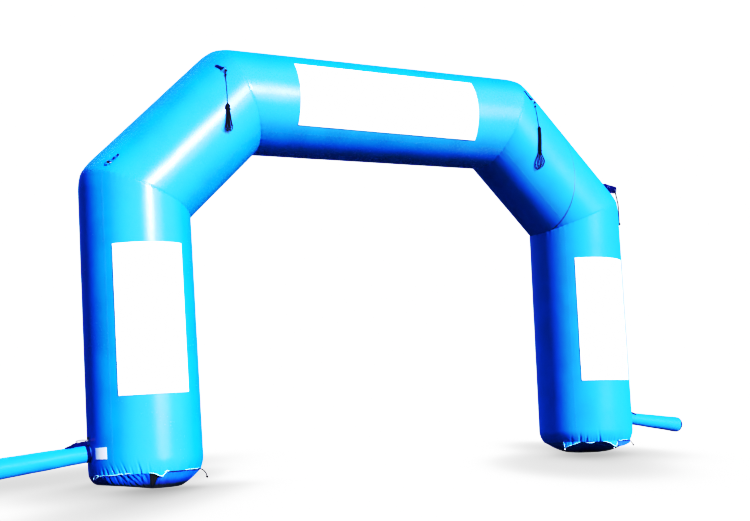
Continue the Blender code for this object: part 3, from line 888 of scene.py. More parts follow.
def spaced(route: Sequence[Sequence[float]], spacing: float) -> Points:
    """Points at an even spacing along a Catmull-Rom curve.

    Args:
        route: The points that the curve passes through.
        spacing: The distance between the result's points, in metres.

    Returns:
        The curve's points, with both ends.
    """
    knots = np.asarray(route, dtype=float)
    knots = np.vstack((knots[0] * 2.0 - knots[1], knots, knots[-1] * 2.0 - knots[-2]))
    share = np.linspace(0.0, 1.0, 24, endpoint=False)[:, None]
    fine = [
        0.5 * (p1 * 2.0 + (p2 - p0) * share + (p0 * 2.0 - p1 * 5.0 + p2 * 4.0 - p3) * share**2
               + (p1 * 3.0 - p0 - p2 * 3.0 + p3) * share**3)
        for p0, p1, p2, p3 in zip(knots, knots[1:], knots[2:], knots[3:])
    ]
    fine = np.vstack((*fine, knots[-2]))
    run = runs_along(fine)
    count = max(2, round(run[-1] / spacing))
    stops = np.linspace(0.0, run[-1], count + 1)
    return rows_at(stops, run, fine)


def length_of(path: Points) -> float:
    """Returns a path's length in metres."""
    return float(np.linalg.norm(np.diff(path, axis=0), axis=1).sum())


# ----------------------------------------------------------------------------------------------------
# The tube's lines


@dataclass(frozen=True)
class Foot:
    """How a leg is gathered in at its foot, and how its base cloth bulges down to the ground."""

    side: Side
    flare: float
    hem_height: float
    hem_radius: float
    hem_shift: float
    contact_radii: tuple[float, float]
    contact_shift: tuple[float, float]
    fullness: tuple[float, float, float] = (2.0, 0.0, 0.0)
    raised: tuple[float, float, float] = (0.0, 0.0, 0.0)
    hem_lift: float = 0.0
    gaps: tuple[tuple[float, float, float, float], ...] = ()
    folds_above: tuple[Fold, ...] = ()
    folds_below: tuple[Fold, ...] = ()
    seed: int = 1
    fine_gather: float = 0.0022
    broad_gather: float = 0.0024

    def raise_at(self, turn: Points) -> Points:
        """Returns how high the rim of the base's flat stands off the ground at each angle."""
        still, outward, forward = self.raised
        angle = np.radians(turn)
        return np.maximum(0.0, still + outward * np.sin(angle) + forward * np.cos(angle))

    def lift(self, turn: Points) -> Points:
        """Returns how far the drawcord pulls the hem up at each angle."""
        return self.hem_lift * (0.5 + 0.5 * np.cos(np.radians(turn - 45.0))) ** 2

    def rim(self, turn: Points, rise: Points, out: Points) -> Points:
        """Points close to the hem.

        Args:
            turn: Angles round the leg, in degrees.
            rise: Heights above the hem.
            out: Distances out from the gathered hem.

        Returns:
            The points.
        """
        course = COURSES[f"leg_{self.side}"]
        height = self.hem_height + self.lift(turn) + rise
        station = height if self.side is Side.LEFT else course.span - height
        radius = self.hem_radius - self.gather(turn, np.zeros_like(turn)) + out
        return course.at(station, turn, radius) + course.outward * self.hem_shift

    def gather(self, turn: Points, distance: Points) -> Points:
        """How far the leg's cloth is drawn in above the hem.

        Args:
            turn: Angles round the leg, in degrees.
            distance: Heights above the hem, in metres.

        Returns:
            Depths in metres.
        """
        fine = ripple(turn, distance, self.seed, (34, 62), 0.30) * np.exp(-((distance / 0.045) ** 2))
        broad = ripple(turn, distance, self.seed + 7, (14, 30), 0.50) * np.exp(-((distance / 0.085) ** 2))
        total = self.fine_gather * fine + self.broad_gather * broad
        for fold in self.folds_above:
            total = total + fold.sink(turn, distance)
        return total


LEFT_FOOT = Foot(
    Side.LEFT, flare=0.006, hem_height=0.140, hem_radius=0.582, hem_shift=0.014,
    contact_radii=(0.364, 0.530), contact_shift=(0.050, -0.060), fullness=(3.3, 1.63, -0.97),
    raised=(-0.017, 0.059, 0.005), hem_lift=0.020, gaps=((13.0, -2.5, 80.0, 0.15),),
    folds_above=creases(
        (62.0, 1.6, 0.006, 3.0, 0.055), (56.0, 1.5, 0.008, 4.0, 0.065), (48.0, 1.5, 0.010, 5.0, 0.075),
        (42.5, 1.3, 0.009, 4.0, 0.070), (35.0, 1.4, 0.010, 4.5, 0.080), (29.0, 1.2, 0.007, 3.0, 0.060),
        (21.0, 1.5, 0.013, 3.0, 0.080), (12.0, 1.2, 0.009, 2.0, 0.065), (3.0, 1.0, 0.005, 0.0, 0.045),
        (-10.0, 1.2, 0.003, 0.0, 0.03), (-52.0, 2.0, 0.006, -2.0, 0.035),
    ),
    folds_below=creases(
        (38.5, 2.6, 0.020, -9.0, 0.13), (33.0, 2.2, 0.020, -9.0, 0.13), (27.5, 2.4, 0.018, -8.0, 0.12),
        (20.0, 2.6, 0.018, -5.0, 0.11), (45.0, 2.4, 0.010, -8.0, 0.10),
        (-6.0, 2.0, 0.006, 3.0, 0.08), (-14.0, 2.5, 0.004, 2.0, 0.06),
    ),
    seed=11,
)
RIGHT_FOOT = Foot(
    Side.RIGHT, flare=0.007, hem_height=0.152, hem_radius=0.555, hem_shift=0.006,
    contact_radii=(0.150, 0.220), contact_shift=(0.260, 0.320), fullness=(1.69, 1.01, -0.96),
    gaps=((-2.0, -16.5, 10.0, 0.10), (-49.5, -66.0, 0.0, 0.10)),
    folds_above=creases(
        (-46.5, 1.8, 0.014, 1.0, 0.070), (-38.5, 1.6, 0.012, 1.0, 0.065), (-21.5, 1.9, 0.016, -1.0, 0.085),
        (-58.0, 2.0, 0.007, 2.0, 0.055), (-30.0, 1.6, 0.005, 0.0, 0.045), (-10.0, 1.5, 0.005, 0.0, 0.04),
        (-2.0, 1.4, 0.005, 0.0, 0.045), (5.0, 1.2, 0.004, 0.0, 0.035), (11.0, 1.2, 0.004, 0.0, 0.035),
        (26.0, 2.0, 0.006, 0.0, 0.04),
    ),
    folds_below=creases(
        (-46.5, 2.2, 0.012, 3.0, 0.10), (-38.5, 2.0, 0.012, 2.0, 0.09), (-21.5, 2.4, 0.022, 1.0, 0.09),
        (-30.0, 2.5, 0.008, 0.0, 0.07),
    ),
    seed=23,
)


@dataclass(frozen=True)
class Course:
    """A straight run of the tube's centreline, with the slope of the mitre or the foot at each end."""

    start: Point
    end: Point
    start_slope: float = 0.0
    end_slope: float = 0.0
    start_foot: "Foot | None" = None
    end_foot: "Foot | None" = None

    @property
    def span(self) -> float:
        """Returns the run's length."""
        return float(np.linalg.norm(np.subtract(self.end, self.start)))

    @property
    def axis(self) -> Points:
        """Returns the run's direction."""
        return np.subtract(self.end, self.start) / self.span

    @property
    def outward(self) -> Points:
        """Returns the direction to the arch's outer side, square to the run."""
        axis = self.axis
        return np.array((-axis[2], 0.0, axis[0]))

    def at(self, station: Points, turn: Points, radius: Points) -> Points:
        """Returns the points at distances along the run, angles round it in degrees, and radii."""
        station, turn, radius = np.broadcast_arrays(*map(np.atleast_1d, (station, turn, radius)))
        centre = np.array(self.start) + self.axis * station[:, None]
        return centre + spokes(turn, self.outward) * radius[:, None]

    def full_radius(self, station: Points) -> Points:
        """Returns the tube's radius before any gather or seam: a leg widens evenly towards its foot."""
        foot = self.start_foot or self.end_foot
        if foot is None:
            return np.full_like(station, TUBE_RADIUS)
        above = station if self.start_foot else self.span - station
        return TUBE_RADIUS + foot.flare * (1.0 - above / self.span)


TUBE_RADIUS = 0.60
CORNER_PULL = 0.026
CORNER_REACH = 0.20
MITRE_SEAM_DEPTH = 0.0022
MITRE_SEAM_HALF_WIDTH = 0.012
PUCKER_REACH = 0.035
PUCKER_DEPTH = 0.0006
INNER_PUCKER_DEPTH = 0.0022
HEM_REACH = 0.15
FEET_X, SHOULDER_X, SHOULDER_Z, CROWN_X = 2.965, 3.04, 3.145, 1.86
CROWN_LEFT_Z, CROWN_RIGHT_Z = 4.325, 4.365


def mitre_slope(before: Point, corner: Point, after: Point) -> float:
    """The tangent of half the turn at a corner of the centreline.

    Args:
        before: The point before the corner.
        corner: The corner.
        after: The point after it.

    Returns:
        How far the cut runs along the tube for each metre across it.
    """
    first, second = Vector(corner) - Vector(before), Vector(after) - Vector(corner)
    return math.tan(first.angle(second) / 2.0)


def tube_courses() -> dict[str, Course]:
    """Returns the five runs of the tube, from the left foot to the right one."""
    corners: list[Point] = [
        (-FEET_X, 0.0, 0.0), (-SHOULDER_X, 0.0, SHOULDER_Z), (-CROWN_X, 0.0, CROWN_LEFT_Z),
        (CROWN_X, 0.0, CROWN_RIGHT_Z), (SHOULDER_X, 0.0, SHOULDER_Z), (FEET_X, 0.0, 0.0),
    ]
    slopes = [0.0, *(mitre_slope(*corners[i - 1 : i + 2]) for i in range(1, 5)), 0.0]
    names = ("leg_left", "diagonal_left", "crown_beam", "diagonal_right", "leg_right")
    feet = [LEFT_FOOT, None, None, None, None, RIGHT_FOOT]
    ends = zip(names, corners, corners[1:], slopes, slopes[1:], feet, feet[1:])
    return {name: Course(*run) for name, *run in ends}


COURSES = tube_courses()


def hem_fade(distance: Points) -> Points:
    """Returns how much the gathered hem still draws the cloth at distances from it, from 1 to 0."""
    return np.clip(1.0 - distance / HEM_REACH, 0.0, 1.0) ** 2


def ring_seam_station(side: Points) -> Points:
    """Returns how far along its length the slanting ring seam runs, by the sine of the angle round it."""
    return 1.148 - 0.584 * (side + 0.075) - 0.1756 * (side + 0.075) * (side - 0.334)


def corner_pull(turn: Points, distance: Points) -> Points:
    """How far tension and the sewn mitre draw the cloth in near a corner.

    Args:
        turn: Angles round the tube, in degrees.
        distance: Distances from the mitre's cut, in metres.

    Returns:
        Depths in metres.
    """
    side = np.sin(np.radians(turn))
    outer, inner = np.maximum(0.0, side), np.maximum(0.0, -side)
    fade = np.clip(1.0 - distance / CORNER_REACH, 0.0, 1.0) ** 2
    seam = MITRE_SEAM_DEPTH * np.exp(-((distance / MITRE_SEAM_HALF_WIDTH) ** 2))
    pucker = ripple(turn, np.zeros_like(turn), 5, (30, 64), 1.0, 12) * np.exp(-distance / PUCKER_REACH)
    return CORNER_PULL * outer**2 * fade + seam + pucker * (PUCKER_DEPTH + INNER_PUCKER_DEPTH * inner**2)


@dataclass
class TubeLength:
    """One length of the tube, mitred to its neighbours or gathered to its foot."""

    name: str
    cloth: CoatedCloth
    columns: int = 360
    foot_rows: int = 44
    corner_rows: int = 26
    middle_rows: int = 40
    middle_reach: float = 0.26
    unevenness: float = 0.0009

    @property
    def course(self) -> Course:
        """Returns the length's run of the centreline."""
        return COURSES[self.name]

    def end_radius(self, turn: Points, distance: Points, station: Points, foot: "Foot | None") -> Points:
        """The skin's radius near one end.

        Args:
            turn: Angles round the tube, in degrees.
            distance: Distances from the end's cut.
            station: Distances along the run.
            foot: The foot, where the end has one.

        Returns:
            Radii in metres.
        """
        full = self.course.full_radius(station)
        if foot is None:
            return full - corner_pull(turn, distance)
        return full - (full - foot.hem_radius) * hem_fade(distance) - foot.gather(turn, distance)

    def cut(self, turn: Points, distance: Points, at_end: bool) -> tuple[Points, Points]:
        """Where a row near one end lies.

        Args:
            turn: Angles round the tube, in degrees.
            distance: The row's distance from the end's cut.
            at_end: Whether it is the run's end and not its start.

        Returns:
            Stations and radii.
        """
        course = self.course
        slope = course.end_slope if at_end else course.start_slope
        foot = course.end_foot if at_end else course.start_foot
        if foot is not None:
            inward = foot.hem_height + foot.lift(turn) + GAP / 2.0 + distance
            station = course.span - inward if at_end else inward
            return station, self.end_radius(turn, distance, station, foot)
        radius = station = np.full_like(turn, TUBE_RADIUS)
        half_gap = GAP / 2.0 * math.sqrt(1.0 + slope**2)
        for _ in range(3):
            inward = distance + half_gap - radius * np.sin(np.radians(turn)) * slope
            station = course.span - inward if at_end else inward
            radius = self.end_radius(turn, distance, station, None)
        return station, radius

    def place(self, turn: Points, row: Points) -> Placed:
        """Places the skin's vertices.

        Args:
            turn: Angles round the tube, in degrees.
            row: From 0 to 1 in the start's rows, 1 to 2 in the middle's and 2 to 3 in the end's.

        Returns:
            Points, UVs, and the cut and ring attributes.
        """
        course = self.course
        reach = self.middle_reach
        near_start, near_end = (np.clip(rows, 0.0, 1.0) ** 1.6 * reach for rows in (row, 3.0 - row))
        first_station, first_radius = self.cut(turn, near_start, False)
        last_station, last_radius = self.cut(turn, near_end, True)
        share = np.clip(row - 1.0, 0.0, 1.0)
        station = first_station + (last_station - first_station) * share
        radius = first_radius + (last_radius - first_radius) * share
        start, end = (self.cut(turn, np.zeros_like(turn), at_end)[0] for at_end in (False, True))
        from_start, from_end = station - start, end - station
        swell = np.clip(np.minimum(from_start, from_end) / 0.3, 0, 1)
        seed = sum(map(ord, self.name))
        radius = radius + self.unevenness * ripple(turn, station, seed, (2, 9), 0.7) * swell
        points = course.at(station, turn, radius)
        cut = np.full_like(station, NO_SEAM)
        for foot, distance in ((course.start_foot, from_start), (course.end_foot, from_end)):
            if foot is not None:
                points = points + course.outward * (foot.hem_shift * hem_fade(distance))[:, None]
            else:
                cut = np.minimum(cut, distance)
        ring = station - ring_seam_station(np.sin(np.radians(turn)))
        return points, np.column_stack((np.radians(turn) * TUBE_RADIUS, station)), {"cut": cut, "ring": ring}

    def build(self) -> Piece:
        """Builds the length.

        Returns:
            The piece, which replaces the CAD length of its name.
        """
        course = self.course
        starts = self.foot_rows if course.start_foot else self.corner_rows
        ends = self.foot_rows if course.end_foot else self.corner_rows
        rows = np.concatenate((
            np.linspace(0.0, 1.0, starts, endpoint=False),
            np.linspace(1.0, 2.0, self.middle_rows, endpoint=False),
            np.linspace(2.0, 3.0, ends + 1),
        ))
        turns = np.linspace(0.0, 360.0, self.columns + 1)
        mesh = cloth_grid(self.name, turns, rows, self.place, closed=True, capped=True)
        piece = add_piece(f"cloth_{self.name}", mesh, self.cloth.make(), "tube_cloth", self.name)
        return piece


@dataclass
class BaseBag:
    """The round base cloth under a leg, which bulges from the gathered hem to a flat patch on the ground."""

    foot: Foot
    cloth: BaseCloth
    columns: int = 480
    rows: int = 36
    drop: float = 0.20
    gather: float = 0.0012
    gap_depth: float = 0.020
    slack: float = 0.0040

    def place(self, turn: Points, row: Points) -> Placed:
        """Places the bag's vertices; row runs from 0 at the hem to 1 at the ground."""
        foot = self.foot
        rim = foot.rim(turn, np.full_like(turn, -GAP / 2.0), np.zeros_like(turn))
        angle = np.radians(turn)
        out, back = foot.contact_shift
        across, ahead = foot.contact_radii
        ground = np.column_stack((
            foot.side.sign * (FEET_X + out + across * np.sin(angle)),
            back - ahead * np.cos(angle),
            foot.raise_at(turn),
        ))
        bend = row * math.pi / 2.0
        share = (1.0 - np.cos(bend))[:, None]
        points = rim * (1.0 - share) + ground * share
        fullness = foot.fullness[0] + foot.fullness[1] * np.sin(angle) + foot.fullness[2] * np.cos(angle)
        points[:, 2] = ground[:, 2] + (rim[:, 2] - ground[:, 2]) * np.cos(bend) ** fullness
        below = row * self.drop
        sink = np.zeros_like(turn)
        for fold in foot.folds_below:
            sink += fold.sink(turn, below)
        gather = ripple(turn, below, foot.seed + 3, (26, 54), 0.5) * np.exp(-((below / 0.06) ** 2))
        sink += self.gather * gather
        gap = np.zeros_like(turn)
        for high, low, fall, deep in foot.gaps:
            left, right = wrapped(high - turn), wrapped(turn - low - fall * below)
            inside = np.clip(np.minimum(left, right) / 0.8 + 0.2, 0.0, 1.0)
            gap = np.maximum(gap, inside * np.clip((deep - below) / 0.02, 0.0, 1.0))
        sink += self.gap_depth * gap
        sink += self.slack * ripple(turn, below, foot.seed + 5, (7, 16), 0.6)
        sink *= np.clip(row / 0.08, 0.0, 1.0) * np.clip((1.0 - row) / 0.25, 0.0, 1.0)
        inward = np.array((foot.side.sign * FEET_X, 0.0, 0.0)) - points
        inward[:, 2] = 0.0
        inward /= np.maximum(np.linalg.norm(inward, axis=1), 1e-6)[:, None]
        points = points + inward * sink[:, None]
        points[:, 2] = np.maximum(points[:, 2], 0.0)
        return points, np.column_stack((angle * foot.hem_radius, below)), {"gap": gap}

    def build(self) -> Piece:
        """Builds the bag.

        Returns:
            The piece, which replaces the CAD base on its side.
        """
        name = f"base_{self.foot.side}"
        rows = np.linspace(0.0, 1.0, self.rows + 1) ** 0.9
        turns = np.linspace(0.0, 360.0, self.columns + 1)
        mesh = cloth_grid(name, turns, rows, self.place, closed=True, capped=True)
        piece = add_piece(f"cloth_{name}", mesh, self.cloth.make(), "base_cloth", name)
        return piece


@dataclass
class HemFlap:
    """A stretch of the gathered hem that has worked loose and stands out over the base cloth."""

    name: str
    foot: Foot
    turns: tuple[float, ...]
    drops: tuple[float, ...]
    outs: tuple[float, ...]
    edge_radius: float = 0.0045
    thickness: float = 0.0015

    def place(self, share: Points, row: Points) -> Placed:
        """Places the flap's inner face; row runs from 0 above the hem to 1 at its loose edge."""
        stops = np.linspace(0.0, 1.0, len(self.turns))
        turn, drop, out = (np.interp(share, stops, values) for values in (self.turns, self.drops, self.outs))
        rise = 0.006 - (drop + 0.006) * row
        crumple = 0.0016 * np.sin(turn * 2.3) * row + 0.0010 * np.sin(turn * 5.1 + row * 3.0) * row
        points = self.foot.rim(turn, rise, 0.0035 + out * row**1.4 + crumple)
        flat = np.column_stack((np.radians(turn) * TUBE_RADIUS, rise))
        return points, flat, dict.fromkeys(("cut", "ring"), np.full_like(turn, NO_SEAM))

    def build(self, cloth: Material, edge_highlight: Material) -> None:
        """Builds the flap and the pale cord along its loose edge, which paints a highlight there.

        Args:
            cloth: The flap's material.
            edge_highlight: The edge's material.
        """
        columns, rows = np.linspace(0.0, 1.0, 49), np.linspace(0.0, 1.0, 9)
        mesh = cloth_grid(self.name, columns, rows, self.place, closed=False)
        piece = add_piece(self.name, mesh, cloth, "tube_cloth")
        thicken(piece, self.thickness)
        if not self.edge_radius:
            return
        shares = np.linspace(0.0, 1.0, 60)
        edge = self.place(shares, np.ones_like(shares))[0]
        taper = self.edge_radius * np.clip(4.0 * np.minimum(shares, 1.0 - shares) + 0.35, 0.0, 1.0)
        name = f"{self.name}_edge"
        add_piece(name, round_cord(name, edge, taper), edge_highlight, "panel_cloth")


@dataclass
class HemLine:
    """A pale cord along the hem that paints the light catching its edge, as angles round the leg, heights and
    distances out.
    """

    name: str
    foot: Foot
    stops: tuple[tuple[float, float, float], ...]
    radius: float = 0.004

    def build(self, thread: Material) -> None:
        """Builds the line in its material, the pale one that paints highlights along the hem."""
        turn, rise, out = np.array(self.stops).T
        route = spaced(self.foot.rim(turn, rise, out + 0.004), 0.005)
        index = np.arange(len(route))
        taper = self.radius * np.clip(np.minimum(index, index[::-1]) / 4.0 + 0.4, 0, 1)
        add_piece(self.name, round_cord(self.name, route, taper), thread, "panel_cloth")


def trim_hems(cloth: Material) -> None:
    """Adds the loose flaps, the pale cords that paint highlights on the hems' edges, and the thread ends
    along both hems.

    Args:
        cloth: The flaps' material.
    """
    # Pale cords along the hem and flap edges: painted highlights where light catches those edges.
    edge_highlight = Thread("hem_edge_highlight", (0.34, 0.68, 0.84)).make()
    shaded = CoatedCloth("shaded_flap_cloth", colour=(0.001, 0.050, 0.40), roughness=0.6)
    HemFlap(
        "hem_flap_left", LEFT_FOOT, edge_radius=0.0046,
        turns=(13.0, 9.0, 6.5, 3.5, 0.5, -2.0, -5.0),
        drops=(-0.002, 0.002, 0.012, 0.030, 0.040, 0.016, -0.004),
        outs=(0.006, 0.014, 0.018, 0.024, 0.024, 0.014, 0.004),
    ).build(cloth, edge_highlight)
    HemFlap(
        "hem_flap_right_a", RIGHT_FOOT, edge_radius=0.0045,
        turns=(-70.0, -67.5, -63.0, -57.0, -51.0, -46.0),
        drops=(-0.002, 0.066, 0.052, 0.032, 0.014, -0.004),
        outs=(0.010, 0.026, 0.026, 0.020, 0.012, 0.004),
    ).build(cloth, edge_highlight)
    HemFlap(
        "hem_flap_right_b", RIGHT_FOOT, edge_radius=0.0046,
        turns=(-17.5, -13.0, -8.0, -3.0, 0.5, 2.5, 5.0),
        drops=(-0.002, 0.006, 0.022, 0.060, 0.068, 0.040, -0.004),
        outs=(0.004, 0.014, 0.022, 0.028, 0.026, 0.018, 0.004),
    ).build(cloth, edge_highlight)
    HemFlap(
        "hem_flap_right_c", RIGHT_FOOT, edge_radius=0.0,
        turns=(1.0, 8.0, 16.0, 26.0, 38.0, 52.0, 60.0),
        drops=(0.030, 0.070, 0.062, 0.046, 0.026, 0.008, -0.004),
        outs=(0.002, 0.006, 0.008, 0.008, 0.006, 0.004, 0.002),
    ).build(shaded.make(), edge_highlight)
    lines = (
        ("hem_line_left_a", LEFT_FOOT, 0.0042,
         ((69.0, -0.006, 0.004), (62.0, 0.002, 0.002), (54.0, -0.001, 0.001), (46.0, 0.002, 0.002),
          (41.0, 0.010, 0.002), (38.5, -0.004, 0.004))),
        ("hem_line_left_b", LEFT_FOOT, 0.0032,
         ((37.5, 0.006, 0.003), (33.0, 0.010, 0.002), (30.5, 0.002, 0.003))),
        ("hem_line_left_c", LEFT_FOOT, 0.0052,
         ((-2.5, 0.002, 0.003), (-5.0, 0.012, 0.003), (-8.0, 0.008, 0.002))),
        ("hem_line_left_d", LEFT_FOOT, 0.0030,
         ((-27.0, 0.006, 0.002), (-38.0, 0.010, 0.002), (-47.0, 0.006, 0.002), (-55.0, 0.012, 0.003))),
        ("hem_loop_left", LEFT_FOOT, 0.0036,
         ((78.0, -0.038, 0.010), (77.0, -0.012, 0.012), (73.0, 0.008, 0.010), (69.5, 0.000, 0.010),
          (71.5, -0.016, 0.014), (76.0, -0.036, 0.016))),
        ("hem_line_right_a", RIGHT_FOOT, 0.0044,
         ((-40.0, -0.006, 0.004), (-36.0, -0.014, 0.006), (-32.0, -0.013, 0.006), (-28.5, -0.004, 0.004))),
        ("hem_line_right_b", RIGHT_FOOT, 0.0030,
         ((7.0, 0.010, 0.003), (12.0, 0.004, 0.003), (17.0, 0.014, 0.003), (24.0, 0.008, 0.003),
          (31.0, 0.018, 0.003))),
    )
    for name, foot, radius, stops in lines:
        HemLine(name, foot, stops, radius).build(edge_highlight)
    ends = Thread("thread_end", (0.70, 0.74, 0.80)).make()
    for name, foot, turn, rise, out in (
        ("thread_end_left_a", LEFT_FOOT, 3.0, -0.104, -0.050),
        ("thread_end_left_b", LEFT_FOOT, 15.0, -0.098, -0.046),
        ("thread_end_right_a", RIGHT_FOOT, -68.0, -0.086, 0.018),
        ("thread_end_right_b", RIGHT_FOOT, -2.0, -0.088, 0.016),
    ):
        stopper_knot(name, foot.rim(np.array([turn]), rise, out)[0], 0.006, 0.0030, ends)


@dataclass
class TubeSheet:
    """A thin sheet fixed flat to a length of the tube: a banner panel or the care patch."""

    name: str
    length: str
    stations: tuple[float, float]
    angles: tuple[float, float]
    thickness: float
    material: Material
    slot: str
    lift: float = 0.0016
    stand_off: float = 0.0012
    turned: tuple[float, float] = (0.0, 0.0)
    columns: int = 90
    rows: int = 140
    seed: int = 3

    def place(self, turn: Points, station: Points) -> Placed:
        """Places the sheet's inner face, which stands off slightly where the cloth under it is slack."""
        course = COURSES[self.length]
        middle_turn, middle = sum(self.angles) / 2.0, sum(self.stations) / 2.0
        half_turn, half = (self.angles[1] - self.angles[0]) / 2.0, (self.stations[1] - self.stations[0]) / 2.0
        across = (turn - middle_turn) / half_turn
        along = (station - middle) / half
        rim = np.maximum(np.abs(across), np.abs(along)) ** 10
        wave = ripple(turn * 6.0, station, self.seed, (1, 4), 0.5) * 0.5 + 0.5
        lift = GAP + self.lift * (0.4 + 0.6 * np.clip(wave, 0.0, 1.2)) * (0.55 + 0.45 * rim)
        radius = course.full_radius(station) + self.stand_off + lift
        shift = (self.turned[0] * (1.0 - across) + self.turned[1] * (1.0 + across)) / 2.0
        points = course.at(station, turn + shift * (0.5 + 0.5 * along), radius)
        flat = np.column_stack((np.radians(turn - middle_turn) * TUBE_RADIUS, station - middle))
        return points, flat, {}

    def build(self) -> Piece:
        """Builds the sheet.

        Returns:
            The piece, which replaces the CAD sheet of its name.
        """
        columns = np.linspace(*self.angles, self.columns + 1)
        rows = np.linspace(*self.stations, self.rows + 1)
        mesh = cloth_grid(self.name, columns, rows, self.place, closed=False)
        course = COURSES[self.length]
        centre = mesh.polygons[len(mesh.polygons) // 2]
        middle = Vector(course.at(sum(self.stations) / 2.0, 0.0, 0.0)[0])
        if centre.normal.dot(centre.center - middle) < 0.0:
            mesh.flip_normals()
        piece = add_piece(f"sheet_{self.name}", mesh, self.material, self.slot, self.name)
        thicken(piece, self.thickness, even=True)
        return piece


@dataclass(frozen=True)
class SleeveLine:
    """The run of an air sleeve out from its leg."""

    side: Side
    root_height: float
    drop: float
    root_radius: float
    growth: float
    length: float

    @property
    def axis(self) -> Points:
        """Returns the direction away from the leg."""
        return np.array((self.side.sign, 0.0, -self.drop)) / math.hypot(1.0, self.drop)

    @property
    def up(self) -> Points:
        """Returns the direction square to the sleeve, upwards."""
        return np.array((self.side.sign * self.drop, 0.0, 1.0)) / math.hypot(1.0, self.drop)

    def leg_face(self, height: Points) -> Points:
        """Returns the x of the leg's outer side at each height."""
        foot = LEFT_FOOT if self.side is Side.LEFT else RIGHT_FOOT
        lean = (SHOULDER_X - FEET_X) / SHOULDER_Z
        radius = TUBE_RADIUS + foot.flare * (1.0 - height / SHOULDER_Z)
        return self.side.sign * (FEET_X + lean * height + radius * math.hypot(1.0, lean))

    def centre(self, distance: Points) -> Points:
        """Returns points on the sleeve's centreline."""
        distance = np.atleast_1d(distance)
        x = self.leg_face(self.root_height) + self.side.sign * (GAP + distance)
        return np.column_stack((x, np.zeros_like(distance), self.root_height - self.drop * distance))


BLOWER_LINE = SleeveLine(
    Side.LEFT, root_height=0.377, drop=0.111, root_radius=0.088, growth=0.020, length=1.05
)
SPARE_LINE = SleeveLine(
    Side.RIGHT, root_height=0.440, drop=0.145, root_radius=0.072, growth=0.029, length=1.03
)


@dataclass
class AirSleeve:
    """An air sleeve of coated cloth, gathered a little where it is sewn to its leg."""

    name: str
    line: SleeveLine
    profile: tuple[tuple[float, float], ...]
    cloth: CoatedCloth
    columns: int = 144
    spacing: float = 0.012
    root_reach: float = 0.05
    softness: float = 0.0010
    tuck: float = 0.0030
    seed: int = 31

    def rows(self) -> Points:
        """Returns the profile's points at an even spacing, as (distance, radius, run)."""
        knots = np.array(self.profile)
        run = runs_along(knots)
        stops = []
        for low, high in zip(run, run[1:]):
            count = max(2, math.ceil((high - low) / self.spacing) + 1)
            stops.append(np.linspace(low, high, count)[:-1])
        stops = np.concatenate((*stops, [run[-1]]))
        return np.column_stack((rows_at(stops, run, knots), stops))

    def build(self, slot: str) -> Piece:
        """Builds the sleeve from its root to the profile's end.

        Args:
            slot: The record's material slot.

        Returns:
            The piece.
        """
        rows = self.rows()
        line = self.line
        full = max(rows[:, 0])

        def place(turn: Points, index: Points) -> Placed:
            """Places a vertex of the sleeve's cloth."""
            distance, radius, run = rows[index.astype(int)].T
            root = np.exp(-distance / self.root_reach)
            soft = ripple(turn, distance, self.seed, (2, 5), 0.35) * self.softness * (1.0 - root)
            tuck = ripple(turn, distance * 0.4, self.seed + 2, (9, 17), 0.5) * self.tuck * root
            shift = np.clip(distance / 0.02, 0.0, 1.0) * np.clip((full + 0.002 - distance) / 0.03, 0.25, 1.0)
            radius = radius + (soft + tuck) * shift
            points = line.centre(distance) + spokes(turn, line.up) * radius[:, None]
            curve = TUBE_RADIUS - np.sqrt(np.maximum(0.0, TUBE_RADIUS**2 - points[:, 1] ** 2))
            sewn = line.leg_face(points[:, 2]) + line.side.sign * (GAP - curve)
            points[:, 0] = np.where(distance <= 0.0, sewn, points[:, 0])
            flat = np.column_stack((np.radians(turn) * line.root_radius, run))
            return points, flat, {"cut": np.full_like(turn, NO_SEAM)}

        turns = np.linspace(0.0, 360.0, self.columns + 1)
        mesh = cloth_grid(self.name, turns, np.arange(len(rows)), place, closed=True, capped=True, sharp=50.0)
        return add_piece(f"cloth_{self.name}", mesh, self.cloth.make(), slot, self.name)


@dataclass
class Strap:
    """A sewn strip of webbing along a course, with its free edge a little curled."""

    name: str
    course: tuple[Point, ...]
    across: tuple[Point, ...]
    up: tuple[Point, ...]
    webbing: Webbing
    nodes: tuple[str, ...]
    thickness: float = 0.002
    width: float = 0.048
    spacing: float = 0.003
    cup: float = 0.0

    def build(self) -> Piece:
        """Builds the strap.

        Returns:
            The piece.
        """
        path = spaced(self.course, self.spacing)
        run = runs_along(np.asarray(self.course))
        stops = np.linspace(0.0, run[-1], len(path))
        tangent = unit(np.gradient(path, axis=0))
        across = square_to(rows_at(stops, run, self.across), tangent)
        square = np.cross(across, tangent)
        square *= np.sign((square * rows_at(stops, run, self.up)).sum(axis=1))[:, None]
        mesh = ribbon(self.name, path, across, square, self.width, self.thickness, cup=self.cup)
        return add_piece(self.name, mesh, self.webbing.make(), "webbing", *self.nodes)


